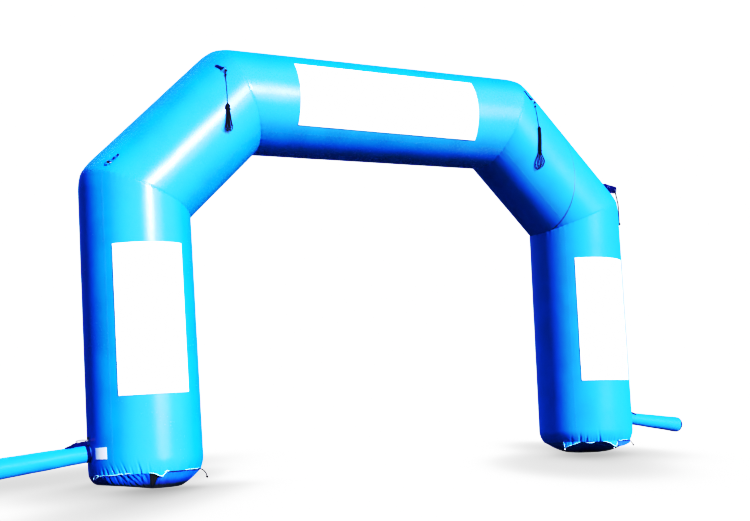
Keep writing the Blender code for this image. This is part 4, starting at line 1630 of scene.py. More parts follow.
@dataclass
class AnchorTab:
    """A doubled webbing tab sewn to the tube, folded round the bar of its D-ring, and the ring."""

    place: str
    strip: tuple[Point, ...]
    across: tuple[Point, ...]
    up: tuple[Point, ...]
    bar: Point
    apex: Point
    bar_across: Point
    ring_half: float = 0.0295
    ring_depth: float = 0.036
    wire: float = 0.003
    fold_radius: float = 0.0058
    layer: float = 0.0019
    layer_gap: float = 0.0006
    pinch: float = 0.0030
    bar_clearance: float = 0.010
    width: float = 0.038

    def folded_course(self) -> tuple[Points, Points, Points]:
        """The strip's middle line: along the tube, round the bar and back on top of itself.

        Returns:
            Points, and the directions across and out of the strip at each.
        """
        path = spaced(self.strip, 0.004)
        run = runs_along(np.asarray(self.strip))
        stops = np.linspace(0.0, run[-1], len(path))
        across, up = (unit(rows_at(stops, run, rows)) for rows in (self.across, self.up))
        ahead, bar = unit(np.gradient(path, axis=0)), np.array(self.bar)
        keep = np.linalg.norm(path - bar, axis=1) > self.bar_clearance
        turn = np.radians(np.linspace(-105.0, 105.0, 13))[:, None]
        fold = bar + (ahead[-1] * np.cos(turn) + up[-1] * np.sin(turn)) * self.fold_radius
        under = (path + up * (self.layer * 0.5))[keep]
        over = (path + up * (self.layer * 1.55 + self.layer_gap))[keep][::-1]
        over[:6] += up[keep][::-1][:6] * np.linspace(self.pinch, 0.0, 6)[:, None]
        course = np.vstack((under, fold, over[:-3]))
        kept = across[keep]
        sideways = np.vstack((kept, np.repeat(across[-1:], len(turn), axis=0), kept[::-1][:-3]))
        smooth, run = spaced(course, 0.003), runs_along(course)
        tangent = unit(np.gradient(smooth, axis=0))
        sideways = square_to(rows_at(np.linspace(0.0, run[-1], len(smooth)), run, sideways), tangent)
        return smooth, sideways, np.cross(tangent, sideways)

    def ring_path(self) -> Points:
        """Returns the D-ring's centreline, closed by its last point meeting its first."""
        bar, apex, across = np.array(self.bar), np.array(self.apex), np.array(self.bar_across)
        ahead = unit(apex - bar)
        turn = np.linspace(0.0, math.pi, 25)[:, None]
        bow = bar + across * self.ring_half * np.cos(turn) + ahead * (0.004 + self.ring_depth * np.sin(turn))
        straight = np.linspace(-1.0, 1.0, 9)[:, None] * (self.ring_half - 0.003) * across + bar
        return np.vstack((bow, straight, bow[:1]))

    def build(self, webbing: Material, metal: Material) -> None:
        """Builds the tab and its ring.

        Args:
            webbing: The tab's material.
            metal: The ring's material.
        """
        path, sideways, out = self.folded_course()
        mesh = ribbon(f"tab_{self.place}", path, sideways, out, self.width, self.layer)
        add_piece(f"webbing_tab_{self.place}", mesh, webbing, "webbing", f"tab_{self.place}")
        loop = spaced(self.ring_path(), 0.003)
        ring = round_cord(f"ring_{self.place}", loop, self.wire, sides=14)
        add_piece(f"d_ring_{self.place}", ring, metal, "ring_metal", f"ring_{self.place}")


def tab_gusset(webbing: Material) -> Piece:
    """The webbing gusset that braces the right shoulder's tab against the tube.

    Args:
        webbing: Its material.

    Returns:
        The piece.
    """
    top = np.array(((3.2386, 3.5472), (3.2992, 3.5534), (3.3748, 3.5356), (3.4641, 3.5130)))
    low = np.array(((3.2606, 3.5115), (3.2908, 3.4720), (3.3376, 3.4265), (3.4501, 3.4300)))

    def place(share: Points, row: Points) -> Placed:
        """Places the gusset's face; row runs from 0 at its upper edge to 1 at its lower one."""
        stops = np.linspace(0.0, 1.0, 4)
        upper, under = (rows_at(share, stops, line) for line in (top, low))
        flat = upper + (under - upper) * row[:, None]
        depth = -0.428 - 0.010 * np.sin(row * math.pi) + 0.02 * (1.0 - share) - 0.003 * np.sin(share * 9.0)
        return np.column_stack((flat[:, 0], depth, flat[:, 1])), flat - flat.mean(axis=0), {}

    mesh = cloth_grid("tab_gusset", np.linspace(0.0, 1.0, 41), np.linspace(0.0, 1.0, 21), place, closed=False)
    piece = add_piece("tab_gusset_shoulder_right", mesh, webbing, "webbing")
    thicken(piece, 0.003, offset=-1.0)
    return piece


ANCHOR_TABS = (
    AnchorTab(
        "crown_left",
        strip=((-2.2006, -0.4059, 4.6108), (-2.1861, -0.4271, 4.5963), (-2.1714, -0.4481, 4.5815),
               (-2.1572, -0.4703, 4.5673), (-2.1434, -0.4940, 4.5535)),
        across=((0.707, 0.0, 0.707),) * 5,
        up=((-0.521, -0.676, 0.521),) * 3 + ((-0.47, -0.75, 0.47), (-0.418, -0.807, 0.418)),
        bar=(-2.1442, -0.5037, 4.5543), apex=(-2.1284, -0.5319, 4.5386),
        bar_across=(0.7071, 0.0, 0.7071),
    ),
    AnchorTab(
        "crown_right",
        strip=((2.0059, -0.4877, 4.7054), (2.0185, -0.4907, 4.6840), (2.0315, -0.4945, 4.6630),
               (2.0449, -0.4991, 4.6424), (2.0587, -0.5045, 4.6222), (2.0734, -0.5121, 4.6028),
               (2.0891, -0.5221, 4.5844)),
        across=((0.757, 0.537, 0.372),) * 5 + ((0.765, 0.52, 0.38), (0.773, 0.502, 0.388)),
        up=((0.399, -0.831, 0.386),) * 5 + ((0.386, -0.843, 0.373), (0.373, -0.855, 0.361)),
        bar=(2.0948, -0.5304, 4.5836), apex=(2.1168, -0.5457, 4.5596),
        bar_across=(0.7735, 0.5012, 0.3880),
    ),
    AnchorTab(
        "shoulder_left",
        strip=((-3.3163, -0.3953, 3.5061), (-3.3375, -0.3953, 3.4849), (-3.3591, -0.3957, 3.4641),
               (-3.3818, -0.3976, 3.4444), (-3.4062, -0.4015, 3.4263)),
        across=((0.466, -0.752, -0.466),) * 5,
        up=((-0.532, -0.659, 0.532),) * 5,
        bar=(-3.4141, -0.4071, 3.4274), apex=(-3.4434, -0.4129, 3.4074),
        bar_across=(0.4662, -0.7518, -0.4662),
    ),
    AnchorTab(
        "shoulder_right",
        strip=((3.2650, -0.3953, 3.5606), (3.2937, -0.3953, 3.5310), (3.3318, -0.4072, 3.5104),
               (3.3696, -0.4228, 3.4896), (3.3993, -0.4345, 3.4609)),
        across=((0.474, 0.752, 0.458), (0.474, 0.752, 0.458), (0.639, 0.459, 0.618), (0.719, 0.009, 0.695),
                (0.645, -0.442, 0.624)),
        up=((0.540, -0.659, 0.523), (0.540, -0.659, 0.523), (0.330, -0.888, 0.319), (0.007, -1.0, 0.007),
            (-0.318, -0.897, -0.307)),
        bar=(3.4000, -0.4419, 3.4549), apex=(3.4219, -0.4489, 3.4272),
        bar_across=(0.6447, -0.4423, 0.6235),
    ),
)
RINGS = {tab.place: (np.array(tab.apex), np.array(tab.bar_across)) for tab in ANCHOR_TABS}


# ----------------------------------------------------------------------------------------------------
# Ropes and cords


def stopper_knot(name: str, at: Points, size: float, radius: float, material: Material) -> Piece:
    """A small tight knot of rope.

    Args:
        name: The piece's name.
        at: Its middle.
        size: Its radius over the rope's centreline.
        radius: The rope's radius.
        material: The rope's material.

    Returns:
        The piece.
    """
    turn = np.linspace(0.0, math.tau, 61)
    lobes = np.column_stack((
        np.sin(turn) + 2.0 * np.sin(2.0 * turn),
        -1.1 * np.sin(3.0 * turn),
        np.cos(turn) - 2.0 * np.cos(2.0 * turn),
    ))
    path = np.asarray(at) + lobes * size / 3.0
    return add_piece(name, round_cord(name, path, radius), material, "cord")


RING_LEADS = (0.0038, 0.012)


def leaving_ring(ring: str, toward: Points) -> list[Points]:
    """The first points of a rope that is tied to a ring.

    Args:
        ring: The ring's place.
        toward: The point that the rope heads for.

    Returns:
        Two points, leaving the ring's bow square.
    """
    apex, across = RINGS[ring]
    away = square_to(toward - apex, across)
    return [apex + away * off for off in RING_LEADS]


@dataclass
class GuyRope:
    """A guy rope hung up for storage: it drops from its ring to a hank, and is wrapped round that."""

    side: Side
    hank: Point
    runs: int
    run_length: float
    wraps: int
    wrap_start: float
    spread: tuple[tuple[float, float, float], ...]
    radius: float = 0.003
    off_tube: float = 0.0098
    pitch: float = 0.0063
    columns: int = 6
    draped: float = 0.0
    top: float = 0.010
    sway: float = 0.0018
    points_a_run: int = 14
    points_a_turn: int = 12
    splice: float = 0.0013
    splice_fade: float = 0.06
    ring_knot: tuple[float, float] = (0.0130, 0.0048)
    second_knot: tuple[float, float] = (0.0115, 0.0044)
    end_knot: tuple[float, float] = (0.0070, 0.0030)
    seed: int = 41
    length: float = field(default=0.0, init=False)

    def drop_route(self) -> list[Points]:
        """Returns the points from the ring, over the diagonal's front, to the hank's top."""
        course = COURSES[f"diagonal_{self.side}"]
        apex = RINGS[f"crown_{self.side}"][0]
        end = np.array(self.hank) + (0.0, 0.0, 0.0006)
        above = end + (0.0, 0.0, 0.030)
        reach = TUBE_RADIUS + self.radius + 0.002
        route = []
        for share in (0.2, 0.4, 0.6, 0.8):
            straight = apex + (above - apex) * share
            sideways = float(np.dot(straight - np.array(course.start), course.outward))
            rest = -math.sqrt(max(0.0, reach**2 - sideways**2))
            route.append(np.array((straight[0], min(rest, straight[1]), straight[2])))
        return [*leaving_ring(f"crown_{self.side}", route[0]), *route, above, end]

    def spread_at(self, drop: float) -> tuple[float, float]:
        """Returns how wide the bundle is spread and how far it is shifted, at a distance below its top."""
        drops, widths, shifts = np.array(self.spread).T
        return float(np.interp(drop, drops, widths)), float(np.interp(drop, drops, shifts))

    def bundle_place(self, column: float, layer: float, drop: float) -> Points:
        """A point in the bundle of runs.

        Args:
            column: The run's column, from the left.
            layer: Its layer, from the back.
            drop: How far it is below the hank's top.

        Returns:
            The point.
        """
        width, shift = self.spread_at(drop)
        middle, aside = self.hank[0] + shift, (column - (self.columns - 1) / 2.0) * self.pitch * width
        free = float(np.clip((drop - self.wrap_start - self.wraps * self.pitch) / 0.05, 0.0, 1.0))
        course = COURSES[f"diagonal_{self.side}"]
        below = np.array((middle + aside * free, 0.0, self.hank[2] - drop)) - np.array(course.start)
        reach = TUBE_RADIUS + self.off_tube
        sunk = reach - math.sqrt(reach**2 - float(np.dot(below, course.outward)) ** 2)
        y = -reach - layer * self.pitch + self.draped * sunk
        return np.array((middle + aside, y, self.hank[2] - drop))

    def hank_route(self) -> list[Points]:
        """Returns the points of the bundle's runs, up and down."""
        draw = np.random.default_rng(self.seed)
        half = self.columns // 2
        layers = range(math.ceil(self.runs / self.columns))
        order = [(step + side, layer) for layer in layers for step in range(half) for side in (0, half)]
        order = order[: self.runs - self.runs % 2]
        route: list[Points] = []
        top = bottom = self.top
        for index, (column, layer) in enumerate(order):
            low_turn = index % 2 == 0
            low = self.run_length * float(draw.uniform(0.86, 1.0))
            bottom = low if low_turn else bottom
            drops = np.linspace(top + 0.012, bottom - 0.020, self.points_a_run)[:: 1 if low_turn else -1]
            sway = draw.normal(0.0, self.sway, 2)
            for drop in drops:
                free = max(0.0, drop - self.wrap_start - self.wraps * self.pitch) / self.run_length
                point = self.bundle_place(column, layer, float(drop))
                point[0] += sway[0] * free * 6.0 + 0.0022 * free * math.sin(drop * 60.0 + index)
                point[1] -= abs(sway[1]) * free * 2.0
                route.append(point)
            after = order[index + 1] if index + 1 < len(order) else (column, layer)
            depth = bottom if low_turn else top - 0.006 * float(draw.uniform(0.2, 1.0))
            here, there = self.bundle_place(column, layer, depth), self.bundle_place(*after, depth)
            middle = (here + there) / 2.0
            middle[2] = self.hank[2] - (depth + (0.004 if low_turn else -0.004))
            middle[1] -= 0.002 * float(draw.uniform(0.0, 1.0))
            if index + 1 < len(order):
                route.append(middle)
        return route

    def wrap_route(self) -> list[Points]:
        """Returns the turns of rope round the bundle, from its top down."""
        layers = math.ceil(self.runs / self.columns)
        route = []
        for step in range(self.wraps * self.points_a_turn + 1):
            turn = math.tau * step / self.points_a_turn
            drop = self.wrap_start + self.pitch * step / self.points_a_turn
            centre = self.bundle_place((self.columns - 1) / 2.0, (layers - 1) / 2.0, drop)
            wide = self.pitch * self.spread_at(drop)[0]
            half_x = (self.columns - 1) / 2.0 * wide + 2.0 * self.radius + 0.0006
            half_y = (layers - 1) / 2.0 * self.pitch + 2.0 * self.radius + 0.0004
            side, ahead = math.cos(turn), math.sin(turn)
            bulge = (abs(side) ** 3.0 + abs(ahead) ** 3.0) ** (-1.0 / 3.0)
            route.append(centre + np.array((side * bulge * half_x, -ahead * bulge * half_y, 0.0)))
        return route

    def path(self) -> Points:
        """Returns the rope's whole centreline."""
        drop = spaced(self.drop_route(), 0.008)
        hank = spaced([self.drop_route()[-1], *self.hank_route(), *self.wrap_route()], 0.0045)
        return np.vstack((drop[:-1], hank))

    def build(self, rope: Material) -> Piece:
        """Builds the rope with its knots.

        Args:
            rope: The rope's material.

        Returns:
            The piece, which replaces the CAD cord and hank on its side.
        """
        path = self.path()
        self.length = length_of(path)
        name = f"guy_rope_{self.side}"
        run = np.arange(len(path)) * self.length / len(path)
        drop = length_of(spaced(self.drop_route(), 0.008))
        thickness = self.radius + self.splice * np.clip((drop - run) / self.splice_fade, 0.0, 1.0)
        piece = add_piece(name, round_cord(name, path, thickness, sides=7), rope, "cord",
                          f"guy_cord_{self.side}", f"guy_hank_{self.side}")
        ring_knot = stopper_knot(f"{name}_ring_knot", path[3], *self.ring_knot, rope)
        second_knot = stopper_knot(f"{name}_second_knot", path[10], *self.second_knot, rope)
        end_at = path[-1] + np.array((0.0, -0.004, -0.004))
        end_knot = stopper_knot(f"{name}_end_knot", end_at, *self.end_knot, rope)
        log.info("%s: %.2f m of rope", name, self.length)
        return piece


@dataclass
class LooseCord:
    """A short cord along a route, knotted at its end."""

    name: str
    route: tuple[Point, ...]
    node: str
    radius: float = 0.003
    knot: float = 0.006

    def build(self, rope: Material) -> Piece:
        """Builds the cord.

        Args:
            rope: The cord's material.

        Returns:
            The piece, which replaces its CAD node.
        """
        path = spaced(self.route, 0.006)
        piece = add_piece(self.name, round_cord(self.name, path, self.radius), rope, "cord", self.node)
        end_knot = stopper_knot(f"{self.name}_knot", path[-1], self.knot, self.radius * 0.9, rope)
        return piece


def shoulder_cord_route() -> tuple[Point, ...]:
    """Returns the route of the cord that hangs from the right shoulder's ring against the leg."""
    course = COURSES["leg_right"]
    points = [course.at(course.span - height, 49.0, 0.606)[0] for height in (3.295, 3.205, 3.115, 3.025)]
    return tuple(tuple(point) for point in (*leaving_ring("shoulder_right", points[0]), *points))


def drawcord_route(
    foot: Foot, first: float, last: float, end: Sequence[tuple[float, float]]
) -> tuple[Point, ...]:
    """The route of a drawcord, in and out of the gathered hem, and its dangling end.

    Args:
        foot: The foot whose hem it draws in.
        first: The angle where it starts, in degrees.
        last: The angle where it leaves the hem.
        end: Steps outwards and down from there.

    Returns:
        The route's points.
    """
    course = COURSES[f"leg_{foot.side}"]
    station = foot.hem_height if foot.side is Side.LEFT else course.span - foot.hem_height
    turns = np.linspace(first, last, 40)
    sunk = foot.gather(turns, np.zeros_like(turns))
    weave = 0.0022 * np.sin(np.arange(40) * 1.9)
    reach = foot.hem_radius - np.clip(sunk, -0.004, 0.004) + 0.0035 + weave
    stations = station - foot.side.sign * foot.lift(turns)
    points = course.at(stations, turns, reach) + course.outward * foot.hem_shift
    away = unit(points[-1] - course.at(station, 0.0, 0.0)[0])
    tail = [points[-1] + away * out + np.array((0.0, 0.0, drop)) for out, drop in end]
    return tuple(tuple(point) for point in (*points, *tail))


# ----------------------------------------------------------------------------------------------------
# Camera, lights and floor


@dataclass
class Studio:
    """The camera, a bright pale surround, a low front light and a pale floor with soft shadows painted on it.
    """

    place: Point = (-6.50745783, -11.84735586, 0.56064568)
    yaw: float = 28.5496
    pitch: float = 8.1751
    roll: float = -2.9760
    lens: float = 53.541
    floor_half: float = 60.0
    exposure: float = 1.0
    surround: float = 0.86
    # name, azimuth, elevation, energy, angular size, colour, seen in reflections
    suns: tuple[tuple[str, float, float, float, float, Colour, bool], ...] = (
        ("front_light", 14.0, 23.0, 6.2, 6.0, WHITE, False),
        ("streak_light", 15.0, 15.5, 1.45, 2.0, WHITE, True),
        ("soft_light", 20.0, 13.6, 0.75, 40.0, WHITE, True),
        ("back_fill", 185.0, 40.0, 1.8, 30.0, (0.75, 0.88, 1.0), False),
    )
    # place in the sky from its foot at 0 to its top at 1, colour
    sky: tuple[tuple[float, Colour], ...] = ((0.42, (0.0015, 0.0078, 0.098)), (0.62, (0.006, 0.062, 0.36)))
    # painted soft shadows on the floor: depth, beside and before the origin, half width, reach towards and
    # away from the camera, power
    painted_shadows: tuple[tuple[float, ...], ...] = (
        (0.671, -2.092, 2.417, 0.690, 5.049, 1.275, 2.293),
        (0.696, 2.721, -1.405, 0.771, 3.044, 7.072, 2.714),
        (0.600, -4.674, -1.041, 2.068, 4.447, 10.728, 3.0), (0.500, -2.865, 1.128, 0.813, 2.862, 4.0, 4.0),
        (0.500, 1.907, 1.583, 0.800, 3.194, 4.0, 3.742),
    )
    # azimuth, elevation, cosines at its edge and core, strength, colour
    glows: tuple[tuple[float, float, float, float, float, Colour], ...] = (
        (14.0, 14.0, 0.10, 0.90, 2.6, WHITE), (172.0, 18.0, 0.935, 0.990, 0.30, (0.25, 0.70, 0.85)),
    )
    # value before and after the tone curve
    tone: tuple[tuple[float, float], ...] = (
        (0.0105, 0.0055), (0.0325, 0.0113), (0.049, 0.0165), (0.069, 0.0272), (0.0935, 0.0525),
        (0.123, 0.0935), (0.157, 0.1525), (0.196, 0.209), (0.2395, 0.260), (0.289, 0.316), (0.343, 0.360),
        (0.4035, 0.386), (0.50, 0.412), (0.62, 0.448), (0.73, 0.483), (0.84, 0.50), (1.0, 0.50),
    )

    def aim(self, azimuth: float, elevation: float) -> Vector:
        """Returns the direction from the arch to a light: azimuth from -Y towards +X, in degrees."""
        a, e = math.radians(azimuth), math.radians(elevation)
        return Vector((math.sin(a) * math.cos(e), -math.cos(a) * math.cos(e), math.sin(e)))

    def add_camera(self) -> Piece:
        """Adds the camera.

        Returns:
            The camera, which the scene uses.
        """
        yaw, pitch, roll = map(math.radians, (self.yaw, self.pitch, self.roll))
        forward = Vector((math.sin(yaw) * math.cos(pitch), math.cos(yaw) * math.cos(pitch), math.sin(pitch)))
        level = Vector((math.cos(yaw), -math.sin(yaw), 0.0))
        upright = level.cross(forward)
        right = level * math.cos(roll) + upright * math.sin(roll)
        up = upright * math.cos(roll) - level * math.sin(roll)
        data = bpy.data.cameras.new("camera")
        data.sensor_fit = "HORIZONTAL"
        data.sensor_width = 36.0
        data.lens = self.lens
        data.clip_end = 400.0
        camera = bpy.data.objects.new("camera", data)
        turned = Matrix((right, up, -forward)).transposed().to_4x4()
        camera.matrix_world = Matrix.Translation(self.place) @ turned
        bpy.context.scene.collection.objects.link(camera)
        bpy.context.scene.camera = camera
        return camera

    def add_sun(
        self, name: str, azimuth: float, elevation: float, energy: float, width: float, colour: Colour,
        glossy: bool,
    ) -> Piece:
        """Adds a sun lamp.

        Args:
            name: Its name.
            azimuth: Where it stands, in degrees from -Y towards +X.
            elevation: How high it stands, in degrees.
            energy: Its strength.
            width: Its angular size in degrees.
            colour: Its colour.
            glossy: Whether it shows in reflections.

        Returns:
            The lamp.
        """
        data = bpy.data.lights.new(name, "SUN")
        data.energy = energy
        data.angle = math.radians(width)
        data.color = colour
        lamp = bpy.data.objects.new(name, data)
        lamp.matrix_world = self.aim(azimuth, elevation).to_track_quat("Z", "Y").to_matrix().to_4x4()
        lamp.visible_glossy = glossy
        bpy.context.scene.collection.objects.link(lamp)
        return lamp

    def add_world(self) -> None:
        """Sets the white surround that the camera sees, and the blue sky and glows that light the arch."""
        recipe = Recipe("surround", of_world=True)
        toward = recipe.coordinate(Coordinate.DIRECTION)
        rays = recipe.node("LightPath").outputs
        sky = recipe.node("ValToRGB", Fac=recipe.math("MULTIPLY_ADD", recipe.axes(toward)[2], 0.5, 0.5))
        for stop, (position, colour) in zip(sky.color_ramp.elements, self.sky):
            stop.position, stop.color = position, (*colour, 1.0)
        light = recipe.node("Background", Color=sky.outputs["Color"]).outputs[0]
        for azimuth, elevation, edge, core, strength, colour in self.glows:
            facing = recipe.node("VectorMath")
            facing.operation = "DOT_PRODUCT"
            recipe.plug(facing.inputs[0], toward)
            recipe.plug(facing.inputs[1], self.aim(azimuth, elevation))
            power = recipe.ramp(facing.outputs["Value"], edge, core, 0.0, strength)
            power = recipe.times(power, rays["Is Glossy Ray"])
            glow = recipe.node("Background", Color=(*colour, 1.0), Strength=power).outputs[0]
            both = recipe.node("AddShader")
            recipe.plug(both.inputs[0], light)
            recipe.plug(both.inputs[1], glow)
            light = both.outputs[0]
        seen = recipe.node("Background", Color=(*WHITE, 1.0), Strength=self.surround).outputs[0]
        mix = recipe.node("MixShader", Fac=rays["Is Camera Ray"])
        recipe.plug(mix.inputs[1], light)
        recipe.plug(mix.inputs[2], seen)
        bpy.context.scene.world = recipe.show(mix.outputs[0])

    def add_floor(self) -> Piece:
        """Adds the floor, which glows evenly except for the soft shadows painted on it close under the arch.

        Returns:
            The floor.
        """
        bm = bmesh.new()
        bmesh.ops.create_grid(bm, x_segments=1, y_segments=1, size=self.floor_half)
        mesh = bpy.data.meshes.new("floor")
        bm.to_mesh(mesh)
        bm.free()
        floor = bpy.data.objects.new("floor", mesh)
        bpy.context.scene.collection.objects.link(floor)
        recipe = Recipe("pale_floor")
        east, north, _ = recipe.axes(recipe.coordinate(Coordinate.OBJECT))
        yaw = math.radians(self.yaw)
        sideways = recipe.math("MULTIPLY_ADD", north, -math.sin(yaw), recipe.times(east, math.cos(yaw)))
        forward = recipe.math("MULTIPLY_ADD", north, -math.cos(yaw), recipe.times(east, -math.sin(yaw)))
        light: Value = self.surround
        # Each row paints a soft shadow into the floor's glow.
        for depth, beside, before, wide, ahead, behind, power in self.painted_shadows:
            u = recipe.times(recipe.math("SUBTRACT", sideways, beside), 1.0 / wide)
            v = recipe.math("SUBTRACT", forward, before)
            v = recipe.larger(recipe.times(v, 1.0 / ahead), recipe.times(v, -1.0 / behind))
            far = recipe.math("POWER", recipe.math("MULTIPLY_ADD", u, u, recipe.times(v, v)), power / 2.0)
            fall = recipe.math("POWER", math.e, recipe.times(far, -1.0))
            light = recipe.times(light, recipe.math("MULTIPLY_ADD", fall, -depth, 1.0))
        mesh.materials.append(recipe.show(recipe.node("Emission", Strength=light).outputs[0]))
        floor.visible_diffuse = floor.visible_glossy = False
        floor.visible_transmission = floor.visible_shadow = False
        return floor

    def build(self) -> None:
        """Builds the camera, the lights and the floor."""
        self.add_camera()
        for sun in self.suns:
            self.add_sun(*sun)
        self.add_world()
        self.add_floor()
        self.set_tone()

    def set_tone(self) -> None:
        """Sets the picture's tone: deep shadows, and highlights that roll off slowly to white."""
        view = bpy.context.scene.view_settings
        view.view_transform = "Standard"
        view.look = "None"
        view.exposure = self.exposure
        view.use_curve_mapping = True
        mapping = view.curve_mapping
        mapping.use_clip = False
        mapping.extend = "HORIZONTAL"
        curve = mapping.curves[3]
        curve.points[0].location = (0.0, 0.0)
        curve.points[-1].location = self.tone[-1]
        for point in self.tone[:-1]:
            curve.points.new(*point)
        mapping.update()


# ----------------------------------------------------------------------------------------------------
# The arch


def hang_ropes(ropes: dict[str, Material]) -> None:
    """Hangs the guy ropes, the shoulder cord and the drawcords.

    Args:
        ropes: The rope materials by name.
    """
    GuyRope(
        Side.LEFT, hank=(-2.142, -0.6, 4.120), runs=18, run_length=0.318, wraps=7, wrap_start=0.020,
        spread=((0.0, 0.9, 0.0), (0.02, 1.0, -0.004), (0.06, 1.0, -0.004), (0.09, 0.95, 0.001),
                (0.13, 1.25, 0.003), (0.18, 1.5, 0.003), (0.24, 2.2, 0.003), (0.29, 2.7, 0.004),
                (0.33, 2.2, 0.006)),
        seed=41,
    ).build(ropes["guy"])
    GuyRope(
        Side.RIGHT, hank=(2.113, -0.6, 4.205), runs=12, run_length=0.560, wraps=47, wrap_start=0.020,
        columns=4, draped=1.0,
        spread=((0.0, 0.9, 0.002), (0.02, 1.0, 0.0), (0.20, 1.0, -0.003), (0.31, 1.1, -0.004),
                (0.36, 2.2, -0.004), (0.41, 4.6, 0.002), (0.46, 6.2, 0.010), (0.51, 5.2, 0.006),
                (0.56, 2.4, -0.010)),
        seed=43,
    ).build(ropes["guy"])
    LooseCord(
        "shoulder_rope_right", shoulder_cord_route(), "shoulder_cord_right", radius=0.0080, knot=0.013
    ).build(ropes["guy"])
    left_end = ((0.012, -0.005), (0.036, -0.020), (0.062, -0.052), (0.074, -0.092))
    right_end = ((0.010, -0.012), (0.021, -0.029), (0.032, -0.046), (0.040, -0.060))
    for foot, first, last, end, knot in (
        (LEFT_FOOT, -6.0, -63.0, left_end, 0.009), (RIGHT_FOOT, 6.0, 50.0, right_end, 0.007)
    ):
        route = drawcord_route(foot, first, last, end)
        cord = LooseCord(f"hem_cord_{foot.side}", route, f"drawcord_{foot.side}", radius=0.0052, knot=knot)
        cord.build(ropes["hem"])


COVER_LIFT = 0.0022
COVER_UV_RADIUS = 0.05


def sleeve_cover(name: str, line: SleeveLine, profile: tuple[tuple[float, float], ...], capped: bool) -> Mesh:
    """A patch or band of webbing sewn round an air sleeve.

    Args:
        name: The mesh's name.
        line: The sleeve's line.
        profile: Distances along the sleeve and its radii there.
        capped: Whether the last ring is closed over the sleeve's end.

    Returns:
        The mesh.
    """
    knots = np.array(profile)

    def place(turn: Points, index: Points) -> Placed:
        """Places the cover's face a little off the sleeve's cloth."""
        distance, radius = knots[index.astype(int)].T
        points = line.centre(distance) + spokes(turn, line.up) * (radius + COVER_LIFT)[:, None]
        return points, np.column_stack((np.radians(turn) * COVER_UV_RADIUS, radius)), {}

    turns = np.linspace(0.0, 360.0, 73)
    return cloth_grid(name, turns, np.arange(len(knots)), place, closed=True, capped=capped)


